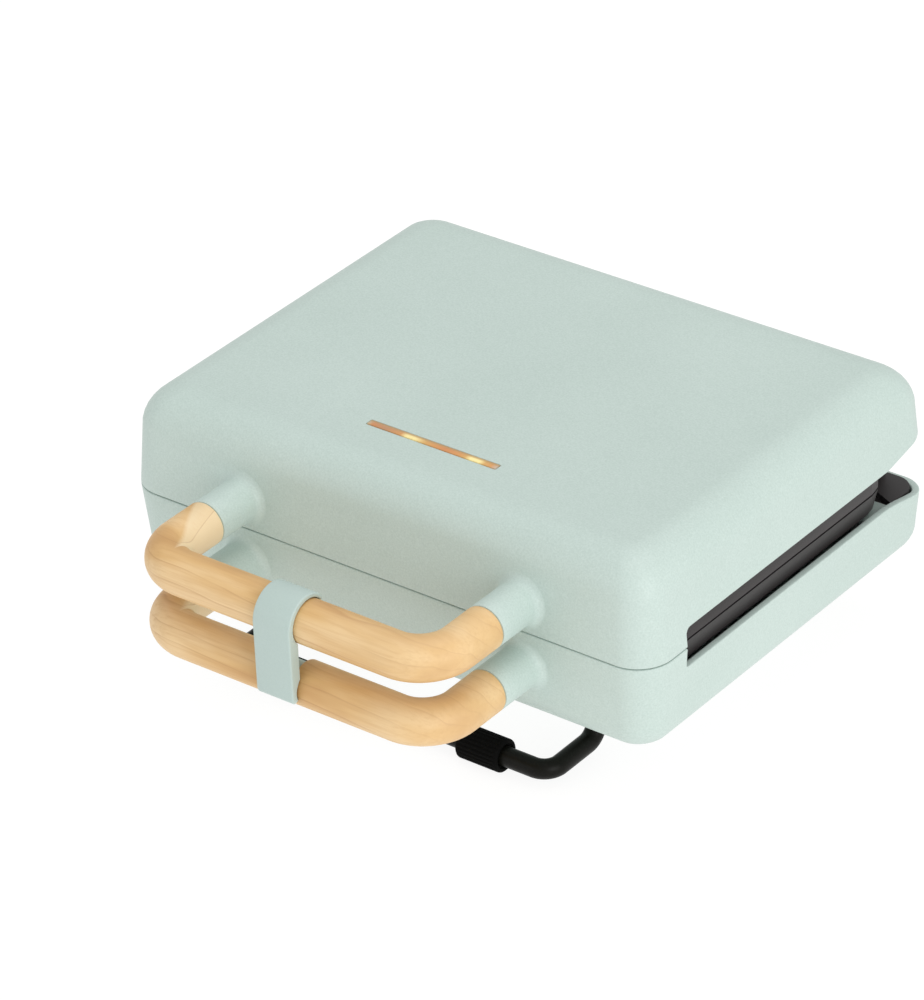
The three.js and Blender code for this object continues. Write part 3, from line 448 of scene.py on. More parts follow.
def shell_rows(half, column, lip=0.5, wall_rows=5, round_rows=10):
    """One column of the shell: flat face, rounding, wall, round the lip and back inside."""
    section, u, z, (along, upright), u_top = column
    start = half["far"] - half["up"] * half["edge"]

    def moved(amount):
        return u + along * amount / SECTION_LENGTH[section], z + upright * amount

    def wall(depth):
        ub, zb = moved(lip)
        return [skin_point(half, section, ub + (u_top - ub) * k / wall_rows,
                           zb + (start - zb) * k / wall_rows, depth) for k in range(wall_rows)]

    def rounding(depth):
        rows = [rounding_point(half, section, u_top, math.pi / 2 * k / round_rows, depth)
                for k in range(round_rows + 1)]
        inset = half["draft"] + half["edge"]
        x, y = plan_point(section, u_top, inset + BORDER, corners(half, inset, depth + BORDER))
        return rows + [(x, y, half["far"] - half["up"] * depth)]

    rows = rounding(0)[::-1] + wall(0)[::-1]
    for turn, inside in ((30, False), (60, False), (90, False), (90, True), (60, True), (30, True)):
        t = math.radians(turn)
        u_lip, z_lip = moved(lip * (1 - math.sin(t)))
        depth = lip * (1 - math.cos(t))
        rows.append(skin_point(half, section, u_lip, z_lip, WALL - depth if inside else depth))
    return rows + wall(WALL) + rounding(WALL)


def casing_shell(builder, half, holes):
    """Hollow casing half.  holes are functions grow -> outline, cut through its face."""
    right = [shell_rows(half, c) for c in rim_columns(half)]
    left = [[(-x, y, z) for x, y, z in rows] for rows in right[1:-1][::-1]]
    columns = right + left
    builder.grid([list(ring) for ring in zip(*columns)], caps=False)
    outer = [c[0][:2] for c in columns]
    inner = [c[-1][:2] for c in columns]
    z_in = half["far"] - half["up"] * WALL
    flat_with_holes(builder, outer, [h(0.85) for h in holes], half["far"])
    flat_with_holes(builder, inner, [h(0) for h in holes], z_in)
    for h in holes:
        through_hole(builder, h, half["far"], z_in)


def stub(builder, half, x, z):
    """Moulded stub for a grip; its flared root follows the leaning wall."""
    flare, root, segments = 3.1, 6.0, 64
    levels = [(HANDLE_R + flare + 0.5, -0.9), (HANDLE_R + flare, -0.05)]
    for k in range(1, 9):
        a = math.pi / 2 * k / 8
        levels.append((HANDLE_R + flare * (1 - math.sin(a)), flare * (1 - math.cos(a))))
    levels += [(HANDLE_R, 8), (HANDLE_R, 14), (HANDLE_R, STUB_LENGTH - 0.4),
               (HANDLE_R - 0.12, STUB_LENGTH - 0.12), (HANDLE_R - 0.4, STUB_LENGTH),
               (STUB_BORE + 0.3, STUB_LENGTH), (STUB_BORE, STUB_LENGTH - 0.3), (STUB_BORE, 16)]
    rows = []
    for r, out in levels:
        row = []
        follow = max(0.0, 1 - max(out, 0) / root)
        for k in range(segments):
            a = 2 * math.pi * k / segments
            height = z + r * math.sin(a)
            row.append((x + r * math.cos(a), -DEPTH / 2 - out + wall_inset(half, height) * follow, height))
        rows.append(row)
    builder.grid(rows)


def underside(x, y):
    """Height of the base's outside over the place (x, y) of its underside."""
    r = BASE["edge"]
    inset = BASE["draft"] + r
    corner = corners(BASE, inset)[1 if y > 0 else 0]
    dx = max(abs(x) - (WIDTH / 2 - inset - corner), 0)
    dy = max(abs(y) - (DEPTH / 2 - inset - corner), 0)
    out = max(math.hypot(dx, dy) - corner, 0)
    return r - math.sqrt(max(r * r - out * out, 0))


def combine(builder, other, operation):
    """Boolean of two closed builders; the first takes the result."""
    objects = []
    for part in (builder, other):
        mesh = new_mesh("work", part.verts, part.faces)
        closed_up(opened(mesh, 1e-4), mesh)
        objects.append(add_object("work", mesh))
    boolean = objects[0].modifiers.new("boolean", "BOOLEAN")
    boolean.operation, boolean.solver, boolean.object = operation, "EXACT", objects[1]
    result = objects[0].evaluated_get(bpy.context.evaluated_depsgraph_get())
    done = bpy.data.meshes.new_from_object(result)
    builder.verts = [tuple(v.co) for v in done.vertices]
    builder.faces = [tuple(face.vertices) for face in done.polygons]
    for obj in objects:
        mesh = obj.data
        bpy.data.objects.remove(obj)
        bpy.data.meshes.remove(mesh)
    bpy.data.meshes.remove(done)


def build_lid():
    """Lid cover: casing half with the indicator's slot and two handle stubs."""
    lid = Builder()
    x0, x1, y0, y1 = LENS

    def lens_slot(grow):
        g = grow + 0.28
        return rounded_rect(x0 - g, y0 - g, x1 + g, y1 + g, 0.45 + grow, 4)

    casing_shell(lid, LID, [lens_slot])
    for side in (-1, 1):
        stub(lid, LID, side * HANDLE_HALF, UPPER_AXIS)
    add_piece("lid_shell", "lid", MINT, "lid_cover", lid)


def build_base():
    """Base cover: casing half with screw bosses, leg sockets, rear shelves and stubs."""
    base, bosses, bores = Builder(), Builder(), Builder()
    posts = [(side * LEG_HALF, end * LEG_POST) for side in (-1, 1) for end in (-1, 1)]
    # each kind of boss: its place, top, radius and the seat of the screw's head
    kinds = [(place, 8, 6, 3.2) for place in CASE_SCREWS.values()] + [(HINGE_SCREW, 19.7, 6.5, 10)]
    core, head, shank = 0.2, 4, 2.6
    for side in (-1, 1):
        for (x, y), top, r, seat in kinds:
            at = (side * x, y, 0)
            turned(bosses, [(core, 1), (r, 1), (r, top), (core, top)], at, UPWARDS)
            turned(bores, [(core, -1), (head, -1), (head, seat), (shank, seat), (shank, top + 1),
                           (core, top + 1)], at, UPWARDS)
    # the bosses start within the wall, also where the underside rounds up
    bosses.verts = [(x, y, max(z, underside(x, y) + WALL / 2)) for x, y, z in bosses.verts]
    casing_shell(base, BASE, [lambda grow, x=x, y=y: circle(x, y, TUBE_HOLE + grow) for x, y in posts])
    combine(base, bosses, "UNION")
    combine(base, bores, "DIFFERENCE")
    for x, y in posts:
        socket = [(TUBE_HOLE, 2.5), (8, 2.5), (8, 10), (TUBE_HOLE, 10)]
        ring_solid(base, socket, (x, y, 0), UPWARDS)
    for side in (-1, 1):
        stub(base, BASE, side * HANDLE_HALF, LOWER_AXIS)
        shelf = rounded_rect(57, 25.2, 72.2, 27.6, 0.5, 3)
        carried_outline(base, shelf, *sorted((side * 109, side * 121.4)), 0.3)
    add_piece("base_shell", "base", MINT, "base_cover", base)


# -------------------- handles and clip
def build_grip(name, node, body, z, neck):
    """U-shaped bar with softened ends; the lower one has a thinner neck for the clip."""
    end = JOINT_Y - 0.3
    path = bent_path([(-HANDLE_HALF, end, z), (-HANDLE_HALF, BAR_Y, z), (HANDLE_HALF, BAR_Y, z),
                      (HANDLE_HALF, end, z)], BEND, 24, 14)
    rim = ((6.0, 0.0), (8.55, 0.0), (8.86, 0.12), (HANDLE_R, 0.45))
    first, d = path[0]
    stations = [(first + d * back, d, r) for r, back in rim]
    stations += [(p, t, HANDLE_R) for p, t in path[1:-1] if np.linalg.norm(p - first) > 0.6]
    last, d = path[-1]
    stations += [(last - d * back, d, r) for r, back in rim[::-1]]
    if neck:
        x0, x1 = CLIP_X - NECK_HALF, CLIP_X + NECK_HALF

        def on_bar(station):
            return abs(station[0][1] - BAR_Y) < 1e-6

        keep = [s for s in stations if not (on_bar(s) and x0 - 0.6 <= s[0][0] <= x1 + 0.6)]
        at = next(i for i, s in enumerate(keep) if on_bar(s) and s[0][0] > x1)
        shape = ((x0 - 0.4, HANDLE_R), (x0 - 0.12, 8.88), (x0, 8.6), (x0, NECK_R),
                 (x1, NECK_R), (x1, 8.6), (x1 + 0.12, 8.88), (x1 + 0.4, HANDLE_R))
        turns = [(np.array((x, BAR_Y, z)), np.array((1.0, 0, 0)), r) for x, r in shape]
        stations = keep[:at] + turns + keep[at:]
    grip = Builder()
    grip.grid(swept(stations, 56))
    add_piece(name, body, WOOD, node, grip)


def build_clip():
    """Hook over the upper grip, wall down the front, and a ring round the lower neck."""
    inner = HANDLE_R + CLIP_PLAY
    back = BAR_Y - 6.9
    gap = math.degrees(math.acos((BAR_Y - back) / inner))
    low = arc(BAR_Y, LOWER_AXIS, inner, 200, 180 - gap, 16)
    up = arc(BAR_Y, UPPER_AXIS, inner, 180 + gap, 35, 48)
    hook = []
    for k in range(45):
        a = math.radians(35 + 145 * k / 44)
        r = inner + CLIP_WALL * (0.45 + 0.55 * math.sqrt(k / 44))
        hook.append((BAR_Y + r * math.cos(a), UPPER_AXIS + r * math.sin(a)))
    front = BAR_Y - inner - CLIP_WALL
    straight = [(front, UPPER_AXIS - 6.5 * k) for k in range(1, 5)]
    heel_r, heel_z, rise = 2.4, 24.2, 7
    heel = arc(front + heel_r, heel_z, heel_r, 180, 262, 8)
    clip = Builder()
    carried_outline(clip, low + up + hook + straight + heel,
                    CLIP_X - CLIP_HALF, CLIP_X + CLIP_HALF, 0.7, 5)
    # the heel's two outer corners are rounded in the front view
    corner, top = 2.0, 30
    verts = []
    for x, y, z in clip.verts:
        away = CLIP_HALF - abs(x - CLIP_X)
        if away < corner and z < top:
            lift = corner - math.sqrt(corner ** 2 - (corner - away) ** 2)
            z += 0.85 * lift * max(0.0, min(1.0, (top - z) / rise))
        verts.append((x, y, z))
    clip.verts = verts
    x0, x1 = CLIP_X - NECK_HALF + CLIP_PLAY, CLIP_X + NECK_HALF - CLIP_PLAY
    ring_solid(clip, round_ring(NECK_R + CLIP_PLAY, 7.2, x0, x1, 0.4),
               (0, BAR_Y, LOWER_AXIS), (1, 0, 0), 48)
    web = rounded_rect(BAR_Y - inner - 0.6, LOWER_AXIS - 3, BAR_Y - NECK_R - 1, LOWER_AXIS + 3, 0.3, 3)
    carried_outline(clip, web, x0, x1, 0.3)
    add_piece("clip", "clip", MINT_CLIP, "handle_clip", clip)


# -------------------- legs
def build_legs():
    """Two bent tube legs, each with two ribbed sleeves on its bar."""
    x = LEG_HALF
    for name, end in ENDS:
        post, bar = end * LEG_POST, end * LEG_BAR
        path = bent_path([(-x, post, LEG_TOP), (-x, post, LEG_AXIS), (-x, bar, LEG_AXIS),
                          (x, bar, LEG_AXIS), (x, post, LEG_AXIS), (x, post, LEG_TOP)], LEG_BEND, 14, 5)
        leg = Builder()
        leg.grid(swept([(p, t, TUBE_R) for p, t in path], 40))
        add_piece(f"{name}_tube_leg", "base", BLACK_STEEL, f"{name}_leg", leg)
        for side, x0 in (("left", SLEEVE_LEFT), ("right", SLEEVE_RIGHT)):
            sleeve = Builder()
            sleeve.grid(sleeve_rows(x0, x0 + SLEEVE_LENGTH, bar), caps=False)
            add_piece(f"ribbed_sleeve_{name}_{side}", "base", RUBBER,
                      f"leg_sleeve_{name}_{side}", sleeve, 60)


def sleeve_rows(x0, x1, y, segments=240):
    """Rubber sleeve with lengthwise ribs that fade into smooth rounded rims."""
    # distance from the end, radius, and how deep the grooves are there
    rim = [(0, 5.9, 0), (0.12, 6.35, 0), (0.45, 6.66, 0), (0.9, SLEEVE_R, 0.05), (1.5, SLEEVE_R, 0.7),
           (2.2, SLEEVE_R, 1), (6, SLEEVE_R, 1)]
    bore = [(0, 5.2, 0), (0.9, 4.9, 0), (1.1, TUBE_HOLE, 0)]
    outer = [(x0 + d, r, rib) for d, r, rib in rim] + [(x1 - d, r, rib) for d, r, rib in rim[::-1]]
    inner = [(x1 - d, r, rib) for d, r, rib in bore] + [(x0 + d, r, rib) for d, r, rib in bore[::-1]]
    rows = []
    for x, r, rib in outer + inner + outer[:1]:
        row = []
        for k in range(segments):
            turn = 2 * math.pi * k / segments
            a = turn - math.pi / 2
            wave = 0.5 - 0.5 * math.cos(RIBS * turn)
            grooved = r - RIB_DEPTH * rib * wave ** 2.2
            row.append((x, y + grooved * math.cos(a), LEG_AXIS + grooved * math.sin(a)))
        rows.append(row)
    return rows


# -------------------- donut plates
def build_plate(name, node, body, up):
    """Cast plate: flat face with six ring cavities and matching bulges behind."""
    plate, flat = Builder(), Builder()
    face, back, edge, n = PLATE_FACE, PLATE_BACK, 0.5, 72

    def place(points):
        return [(x, y, PARTING + up * z) for x, y, z in points]

    def outline(inset):
        return rounded_rect(-PLATE_X2 + inset, PLATE_Y - PLATE_Y2 + inset, PLATE_X2 - inset,
                            PLATE_Y + PLATE_Y2 - inset, PLATE_CORNER - inset, 6)

    def rings(cx, cy, profile):
        """Skin of revolution about a ring's centre, from (radius, depth) pairs."""
        plate.grid([place([(x, y, face + d) for x, y in circle(cx, cy, r, n)]) for r, d in profile],
                   caps=False)

    centres = [(c * RING_STEP_X, PLATE_Y + r * RING_STEP_Y) for c in (-1, 0, 1) for r in (-1, 1)]
    side = [(edge, face), (0.15, face + 0.15), (0, face + edge),
            (0, back - edge), (0.15, back - 0.15), (edge, back)]
    plate.grid([place([(x, y, z) for x, y in outline(g)]) for g, z in side], caps=False)

    # both flat faces: the plate round the rings, and the disc within each ring
    outer, inner = RING_MID + RING_HALF, RING_MID - RING_HALF
    bulge_half, bulge_depth = RING_HALF + RING_SIDE, RING_DEPTH + RING_SKIN
    sunk = (back - face) / bulge_depth
    reach = bulge_half * math.sqrt(1 - sunk ** 2)
    openings = ((face, outer + RING_RIM, inner - RING_RIM), (back, RING_MID + reach, RING_MID - reach))
    for z, far, near in openings:
        flat_with_holes(flat, outline(edge), [circle(cx, cy, far, n) for cx, cy in centres], z)
        for cx, cy in centres:
            flat_with_holes(flat, circle(cx, cy, near, n), [], z)
    plate.add(place(flat.verts), flat.faces)

    cavity = [(outer + RING_RIM, 0), (outer + 0.25, 0.12), (outer, edge)]
    for k in range(1, 20):
        a = math.pi * k / 20
        cavity.append((RING_MID + RING_HALF * math.cos(a), edge + (RING_DEPTH - edge) * math.sin(a)))
    cavity += [(inner, edge), (inner - 0.25, 0.12), (inner - RING_RIM, 0)]
    bulge = []
    start = math.asin(sunk)
    for k in range(21):
        a = start + (math.pi - 2 * start) * k / 20
        bulge.append((RING_MID + bulge_half * math.cos(a), bulge_depth * math.sin(a)))
    for cx, cy in centres:
        rings(cx, cy, cavity)
        rings(cx, cy, bulge)
    for way in (-1, 1):
        boss = Builder()
        turned(boss, [(3.6, back - 0.5), (3.6, back + 7), (1.7, back + 7), (1.7, back + 3)],
               (way * PLATE_SCREW, PLATE_Y, 0), UPWARDS, 32)
        plate.add(place(boss.verts), boss.faces)
    add_piece(name, body, NON_STICK, node, plate, 45)


# -------------------- small pieces
def softened(node, body, material, width, sharp=30.0):
    """Copy of a CAD node with its edges rounded; width is in millimetres."""
    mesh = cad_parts[node].data.copy()
    work = opened(mesh, 2e-6)
    bmesh.ops.dissolve_limit(work, angle_limit=math.radians(0.4), verts=work.verts, edges=work.edges)
    edges = [e for e in work.edges if e.is_manifold and e.calc_face_angle(0) > math.radians(sharp)]
    bmesh.ops.bevel(work, geom=edges, offset=width * MM, segments=2, profile=0.5, affect="EDGES",
                    clamp_overlap=True)
    bmesh.ops.dissolve_degenerate(work, dist=2e-5, edges=work.edges)
    closed_up(work, mesh)
    finish_piece(f"{node}_soft", body, material, node, mesh, sharp)


def screw(name, node, body, x, y, z, length, head_h=2.6, head_r=3.2, shank_r=1.75):
    """Pan-head screw with a cross recess, tip up; (x, y, z) is the middle of its head's face."""
    at = np.array((x, y, z))
    socket_r, socket_depth = 1.6, 0.95
    dome = [(socket_r - 0.05, socket_depth), (socket_r, 0.12), (1.85, 0.0)]
    for k in range(6):
        a = math.pi / 2 * k / 5
        dome.append((1.9 + (head_r - 1.9) * math.sin(a) ** 0.8, 0.9 * (1 - math.cos(a))))
    dome += [(head_r, head_h - 0.2), (head_r - 0.2, head_h), (shank_r, head_h)]
    piece = Builder()
    turned(piece, dome + [(shank_r, length - 1.2), (0.25, length)], at, UPWARDS, 32)
    # the four raised quarters that leave a cross open between them
    a = np.array(UPWARDS, float)
    u, v = square_to(a)
    for turn in range(4):
        c, s = math.cos(turn * math.pi / 2 + 0.785), math.sin(turn * math.pi / 2 + 0.785)
        d, e = c * u + s * v, -s * u + c * v
        quarter = [d * 0.5, d * 1.62 + e * 0.85, d * 1.75, d * 1.62 - e * 0.85]
        piece.grid([[at + a * k + p for p in quarter] for k in (0.1, 0.98)])
    add_piece(name, body, STEEL, node, piece, 40)


def build_screws():
    for side_name, side in SIDES:
        for end, (x, y) in CASE_SCREWS.items():
            screw(f"base_case_screw_{end}_{side_name}", f"base_screw_{end}_{side_name}", "base",
                  side * x, y, 0.3, 18.6)
        for end, z, length, head_h in (("front", 41.7, 19.2, 2.6), ("rear", 48.3, 17.0, 2.2)):
            x, y = CASE_SCREWS[end]
            screw(f"lid_case_screw_{end}_{side_name}", f"lid_screw_{end}_{side_name}", "lid",
                  side * x, y, z, length, head_h)
        x, y = HINGE_SCREW
        screw(f"hinge_screw_{side_name}", f"hinge_block_screw_{side_name}", "base", side * x, y, 7.0, 17.9)


def build_hinge():
    """Hinge blocks, arms and pins, and the push-on rings that hold the legs' posts."""
    # the pin's own profile: blunt nose, shank, then the head outside the block
    rivet = [(2.4, 0.02), (2.9, 0.5), (3.0, 0.9), (3.0, 20.3), (4.5, 20.32), (4.9, 20.7), (4.9, 21.6),
             (4.4, 22.05), (2.0, 22.05), (1.7, 21.8)]
    for side_name, side in SIDES:
        softened(f"hinge_block_{side_name}", "base", BLACK, 0.45)
        softened(f"hinge_arm_{side_name}", "lid", BLACK, 0.4)
        pin = Builder()
        turned(pin, rivet, (side * 85.0, *HINGE), (side, 0, 0))
        add_piece(f"hinge_rivet_{side_name}", "base", STEEL, f"hinge_pin_{side_name}", pin)
        for end_name, end in ENDS:
            ring = Builder()
            ring_solid(ring, round_ring(4.42, 6.55, 10.32, 12.46, 0.3),
                       (side * LEG_HALF, end * LEG_POST, 0), UPWARDS)
            add_piece(f"push_ring_{end_name}_{side_name}", "base", STEEL,
                      f"leg_retainer_{end_name}_{side_name}", ring)


def build_gland():
    """Cord gland: flanged sleeve through the rear wall, inner clamping ribs and a nut."""
    gland = Builder()
    profile = [(3.4, 83.0), (5.0, 83.0), (5.0, 95.2), (7.6, 95.22), (7.95, 95.5), (7.9, 95.9),
               (6.5, 97.3), (6.1, 97.48), (4.0, 97.48), (3.5, 97.2)]
    ring_solid(gland, profile, (0, 0, GLAND_Z), (0, 1, 0), 48)
    turns = [(math.cos(math.radians(60 * k)), math.sin(math.radians(60 * k))) for k in range(6)]

    def bar(outline, y0, y1):
        gland.grid([[(x, y, GLAND_Z + z) for x, z in outline] for y in (y0, y1)])

    near, far, half = 3.2, 4.6, 0.6
    for c, s in turns:
        bar([(c * near - s * half, s * near + c * half), (c * near + s * half, s * near - c * half),
             (c * far + s * half, s * far - c * half), (c * far - s * half, s * far + c * half)],
            88.0, 96.6)
    bar([(6.6 * c, 6.6 * s) for c, s in turns], 87.5, 89.8)
    add_piece("strain_gland", "base", BLACK, "cord_gland", gland)


def build_wire_sleeve():
    """Sleeve with the lid's wires, from the base into the lid."""
    x, y = WIRES
    low, high, steps, segments = 26.75, 52.8, 90, 24
    tube = Builder()
    rows = []
    for k in range(steps + 1):
        r = WIRES_R + 0.14 * math.cos(2 * math.pi * k / 3)
        z = low + (high - low) * k / steps
        rows.append([(px, py, z) for px, py in circle(x, y, r, segments)])
    tube.grid(rows)
    mesh = new_mesh("wire_sleeve", placed(tube.verts), tube.faces)
    mesh.shade_smooth()
    obj = add_object("wire_sleeve", mesh)
    obj.data.materials.append(CERAMIC)
    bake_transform(obj)
    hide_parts("supply_sleeve")


def build_small():
    softened("base_inner_frame", "base", BLACK, 0.5)
    softened("lid_inner_frame", "lid", BLACK, 0.5)
    softened("indicator_lens", "lid", AMBER, 0.25)
    softened("terminal_block", "base", CERAMIC, 0.3)
    softened("thermostat", "base", CERAMIC, 0.2, 40)
    softened("lamp_board", "lid", BOARD, 0.15)


# -------------------- materials
class Look:
    """Node graph of one material; its places are the piece's own, in metres."""

    def __init__(self, name):
        self.material = bpy.data.materials.new(name)
        self.material.use_nodes = True
        self.nodes, self.links = self.material.node_tree.nodes, self.material.node_tree.links
        self.coords = self.node("TexCoord").outputs["Object"]

    def node(self, kind, **values):
        """New node with its inputs filled."""
        node = self.nodes.new(f"ShaderNode{kind}")
        self.fill(node, values)
        return node

    def fill(self, node, values):
        """Fills inputs by name, underscores standing for spaces."""
        for name, value in values.items():
            self.feed(node.inputs[name.replace("_", " ")], value)

    def feed(self, socket, value):
        """Sets a socket to a number, a vector or a colour, or joins it to another node."""
        if isinstance(value, (int, float)):
            socket.default_value = value
        elif isinstance(value, tuple):
            socket.default_value = value if socket.type == "VECTOR" else (*value, 1)
        else:
            self.links.new(value, socket)

    def surface(self, **values):
        self.fill(self.nodes["Principled BSDF"], values)

    def places(self):
        return self.node("SeparateXYZ", Vector=self.coords).outputs

    def noise(self, scale, detail, rough=0.5, stretch=None):
        """Noise; stretch gives the three scales along the axes."""
        vector = self.coords
        if stretch:
            vector = self.node("Mapping", Vector=vector, Scale=stretch).outputs["Vector"]
        noise = self.node("TexNoise", Vector=vector, Scale=scale, Detail=detail, Roughness=rough)
        return noise.outputs["Fac"]

    def ramp(self, fac, stops):
        """Colour ramp; a stop is a place with a colour or a level of grey."""
        node = self.node("ValToRGB", Fac=fac)
        colours = [(at, c if isinstance(c, tuple) else (c, c, c)) for at, c in stops]
        band = node.color_ramp
        for element, (at, colour) in zip(band.elements, (colours[0], colours[-1])):
            element.position, element.color = at, (*colour, 1)
        for at, colour in colours[1:-1]:
            band.elements.new(at).color = (*colour, 1)
        return node.outputs["Color"]

    def maths(self, operation, a, b=None, clamp=False):
        node = self.node("Math")
        node.operation, node.use_clamp = operation, clamp
        self.feed(node.inputs[0], a)
        if b is not None:
            self.feed(node.inputs[1], b)
        return node.outputs[0]

    def plus(self, a, b):
        return self.maths("ADD", a, b)

    def less(self, a, b, clamp=False):
        return self.maths("SUBTRACT", a, b, clamp)

    def times(self, a, b, clamp=False):
        return self.maths("MULTIPLY", a, b, clamp)

    def excess(self, value, level, gain):
        """How far a value lies over a level, times a gain, kept within 0 to 1."""
        return self.times(self.less(value, level, True), gain, True)

    def mix(self, fac, a, b):
        node = self.node("Mix")
        node.data_type = "RGBA"
        self.fill(node, {"Factor": fac, "A": a, "B": b})
        return node.outputs["Result"]

    def bump(self, height, strength, distance):
        node = self.node("Bump", Height=height, Strength=strength, Distance=distance)
        self.surface(Normal=node.outputs["Normal"])


def plastic(name, dark, light, rough, grain, depth, spread=0.05, specular=0.5, metallic=0.0):
    """Moulded plastic: faint mottling and a fine moulded grain."""
    look = Look(name)
    broad = look.noise(14, 4)
    fine = look.noise(grain, 2)
    tone = look.plus(look.times(broad, 0.3), look.times(fine, 0.7))
    uneven = look.times(look.less(broad, 0.5), spread * 2)
    look.surface(Base_Color=look.ramp(tone, [(0.32, dark), (0.68, light)]),
                 Roughness=look.plus(uneven, rough), Specular_IOR_Level=specular, Metallic=metallic)
    look.bump(fine, 0.35, depth)
    return look.material


def metal(name, dark, light, rough, metallic, stretch):
    """Metal with faint drawing marks along one axis."""
    look = Look(name)
    marks = look.noise(900, 3, stretch=stretch)
    broad = look.noise(60, 3)
    look.surface(Base_Color=look.ramp(broad, [(0.3, dark), (0.7, light)]), Metallic=metallic,
                 Roughness=look.plus(look.times(marks, 0.16), rough - 0.08))
    look.bump(marks, 0.2, 0.00004)
    return look.material


def wood_material():
    """Varnished maple cut from a plank: the growth lines run along the bar and are cut
    by its bends; a paler patch on the left-hand leg is painted light from the right."""
    look = Look("maple_wood")
    plus, less, times, excess = look.plus, look.less, look.times, look.excess
    x, y, z = look.places()
    bar = (BAR_Y + ORIGIN[1]) * MM
    blotch = look.noise(1.0, 3, stretch=(14, 50, 60))
    fibres = look.noise(1.0, 4, 0.6, (40, 700, 900))
    flecks = look.noise(1.0, 2, stretch=(160, 1800, 2200))
    tone = look.ramp(blotch, [(0.32, WOOD_DEEP), (0.48, WOOD_MID), (0.64, WOOD_PALE)])

    # growth rings about an axis below and in front of the grips, broken up along their length
    ring_y = less(plus(y, times(x, 0.05)), bar - 0.030)
    ring_z = less(z, 0.012)
    radius = look.maths("SQRT", plus(times(ring_y, ring_y), times(ring_z, ring_z)))
    drift = look.noise(1.0, 3, stretch=(7, 40, 40))
    band = look.maths("FRACT", plus(times(radius, 150), times(drift, 2.4)))
    line = look.ramp(band, [(0.0, 0), (0.5, 0.06), (0.86, 0.24), (0.95, 1), (0.985, 0)])
    shown = excess(look.noise(1.0, 2, stretch=(30, 90, 90)), 0.38, 2.6)
    tone = look.mix(times(line, plus(times(shown, 0.5), 0.12)), tone, WOOD_LINE)
    tone = look.mix(excess(fibres, 0.45, 1.3), tone, WOOD_FIBRE)
    # the wood is paler towards the right
    tone = look.mix(times(times(less(x, 0.02), 10, True), 0.7), tone, WOOD_PALE)

    # painted highlight on the left leg where the light from the right falls: a paler patch with a dark
    # hairline along it
    y_leg = less(y, bar)
    over = plus(plus(x, 0.0543), times(y_leg, 0.527))
    seam = plus(plus(x, 0.0554), times(y_leg, 0.178))
    left_leg_light = times(times(over, 500, True), look.maths("LESS_THAN", x, -0.0545))
    hairline = less(1.0, times(look.maths("ABSOLUTE", seam), 6000), True)
    left_leg_lit_tone = look.ramp(blotch, [(0.3, LEG_LIGHT_A), (0.7, LEG_LIGHT_B)])
    left_leg_lit_tone = look.mix(excess(fibres, 0.5, 0.8), left_leg_lit_tone, WOOD_MID)
    # painted light: beyond the hairline the patch is brighter still
    left_leg_lit_tone = look.mix(times(times(seam, 4000, True), 0.6), left_leg_lit_tone, LEG_LIGHT_B)
    left_leg_lit_tone = look.mix(times(hairline, plus(times(shown, 0.4), 0.3)), left_leg_lit_tone, WOOD_LINE)
    # the painted highlight goes over the wood's own colour on the left leg
    tone = look.mix(left_leg_light, tone, left_leg_lit_tone)
    tone = look.mix(excess(flecks, 0.68, 1.3), tone, WOOD_LINE)
    look.surface(Base_Color=tone, Roughness=plus(times(fibres, 0.16), 0.42),
                 Coat_Weight=0.1, Coat_Roughness=0.4)
    look.bump(plus(fibres, times(flecks, 0.4)), 0.15, 0.00004)
    return look.material


def amber_material():
    """Tinted strip; the glow of the two lamps under it is painted into its colour, and it glows faintly
    itself.
    """
    look = Look("amber_strip")
    x, y, _ = look.places()
    x0, x1, y0, y1 = (value * MM for value in LENS)
    y_shift = ORIGIN[1] * MM
    copper, tan, dark = (0.58, 0.235, 0.085), (0.62, 0.29, 0.09), (0.41, 0.26, 0.10)
    glow, painted_glow_fringe = (0.93, 0.80, 0.36), (0.62, 0.36, 0.11)
    along = look.maths("DIVIDE", look.less(x, x0), x1 - x0)
    # painted glow: two bright patches along the strip where the lamps under it would shine through, with
    # fringes round them
    tone = look.ramp(along, [
        (0.0, (0.5, 0.45, 0.3)), (0.04, copper), (0.14, (0.47, 0.24, 0.12)), (0.26, tan), (0.3, glow),
        (0.37, glow), (0.45, painted_glow_fringe), (0.52, tan), (0.6, copper), (0.72, tan), (0.76, painted_glow_fringe), (0.8, glow),
        (0.87, glow), (0.91, painted_glow_fringe), (0.96, tan), (1.0, (0.5, 0.42, 0.33))])
    across = look.maths("DIVIDE", look.less(y, y0 + y_shift), y1 - y0)
    shade = look.ramp(across, [(0.0, 0.2), (0.22, 0), (0.5, 0.05), (0.72, 0.75), (1.0, 0.9)])
    mottle = look.noise(900, 2)
    tone = look.mix(look.times(mottle, 0.14), look.mix(shade, tone, dark), copper)
    # painted glow: the strip itself emits a little light in its own colour
    look.surface(Base_Color=tone, Emission_Color=tone, Emission_Strength=0.12, Coat_Weight=0.15,
                 Roughness=look.plus(look.times(mottle, 0.1), 0.35))
    return look.material


WOOD_DEEP, WOOD_MID, WOOD_PALE = (0.60, 0.34, 0.125), (0.72, 0.455, 0.19), (0.82, 0.58, 0.305)
WOOD_LINE, WOOD_FIBRE = (0.42, 0.19, 0.06), (0.56, 0.31, 0.115)
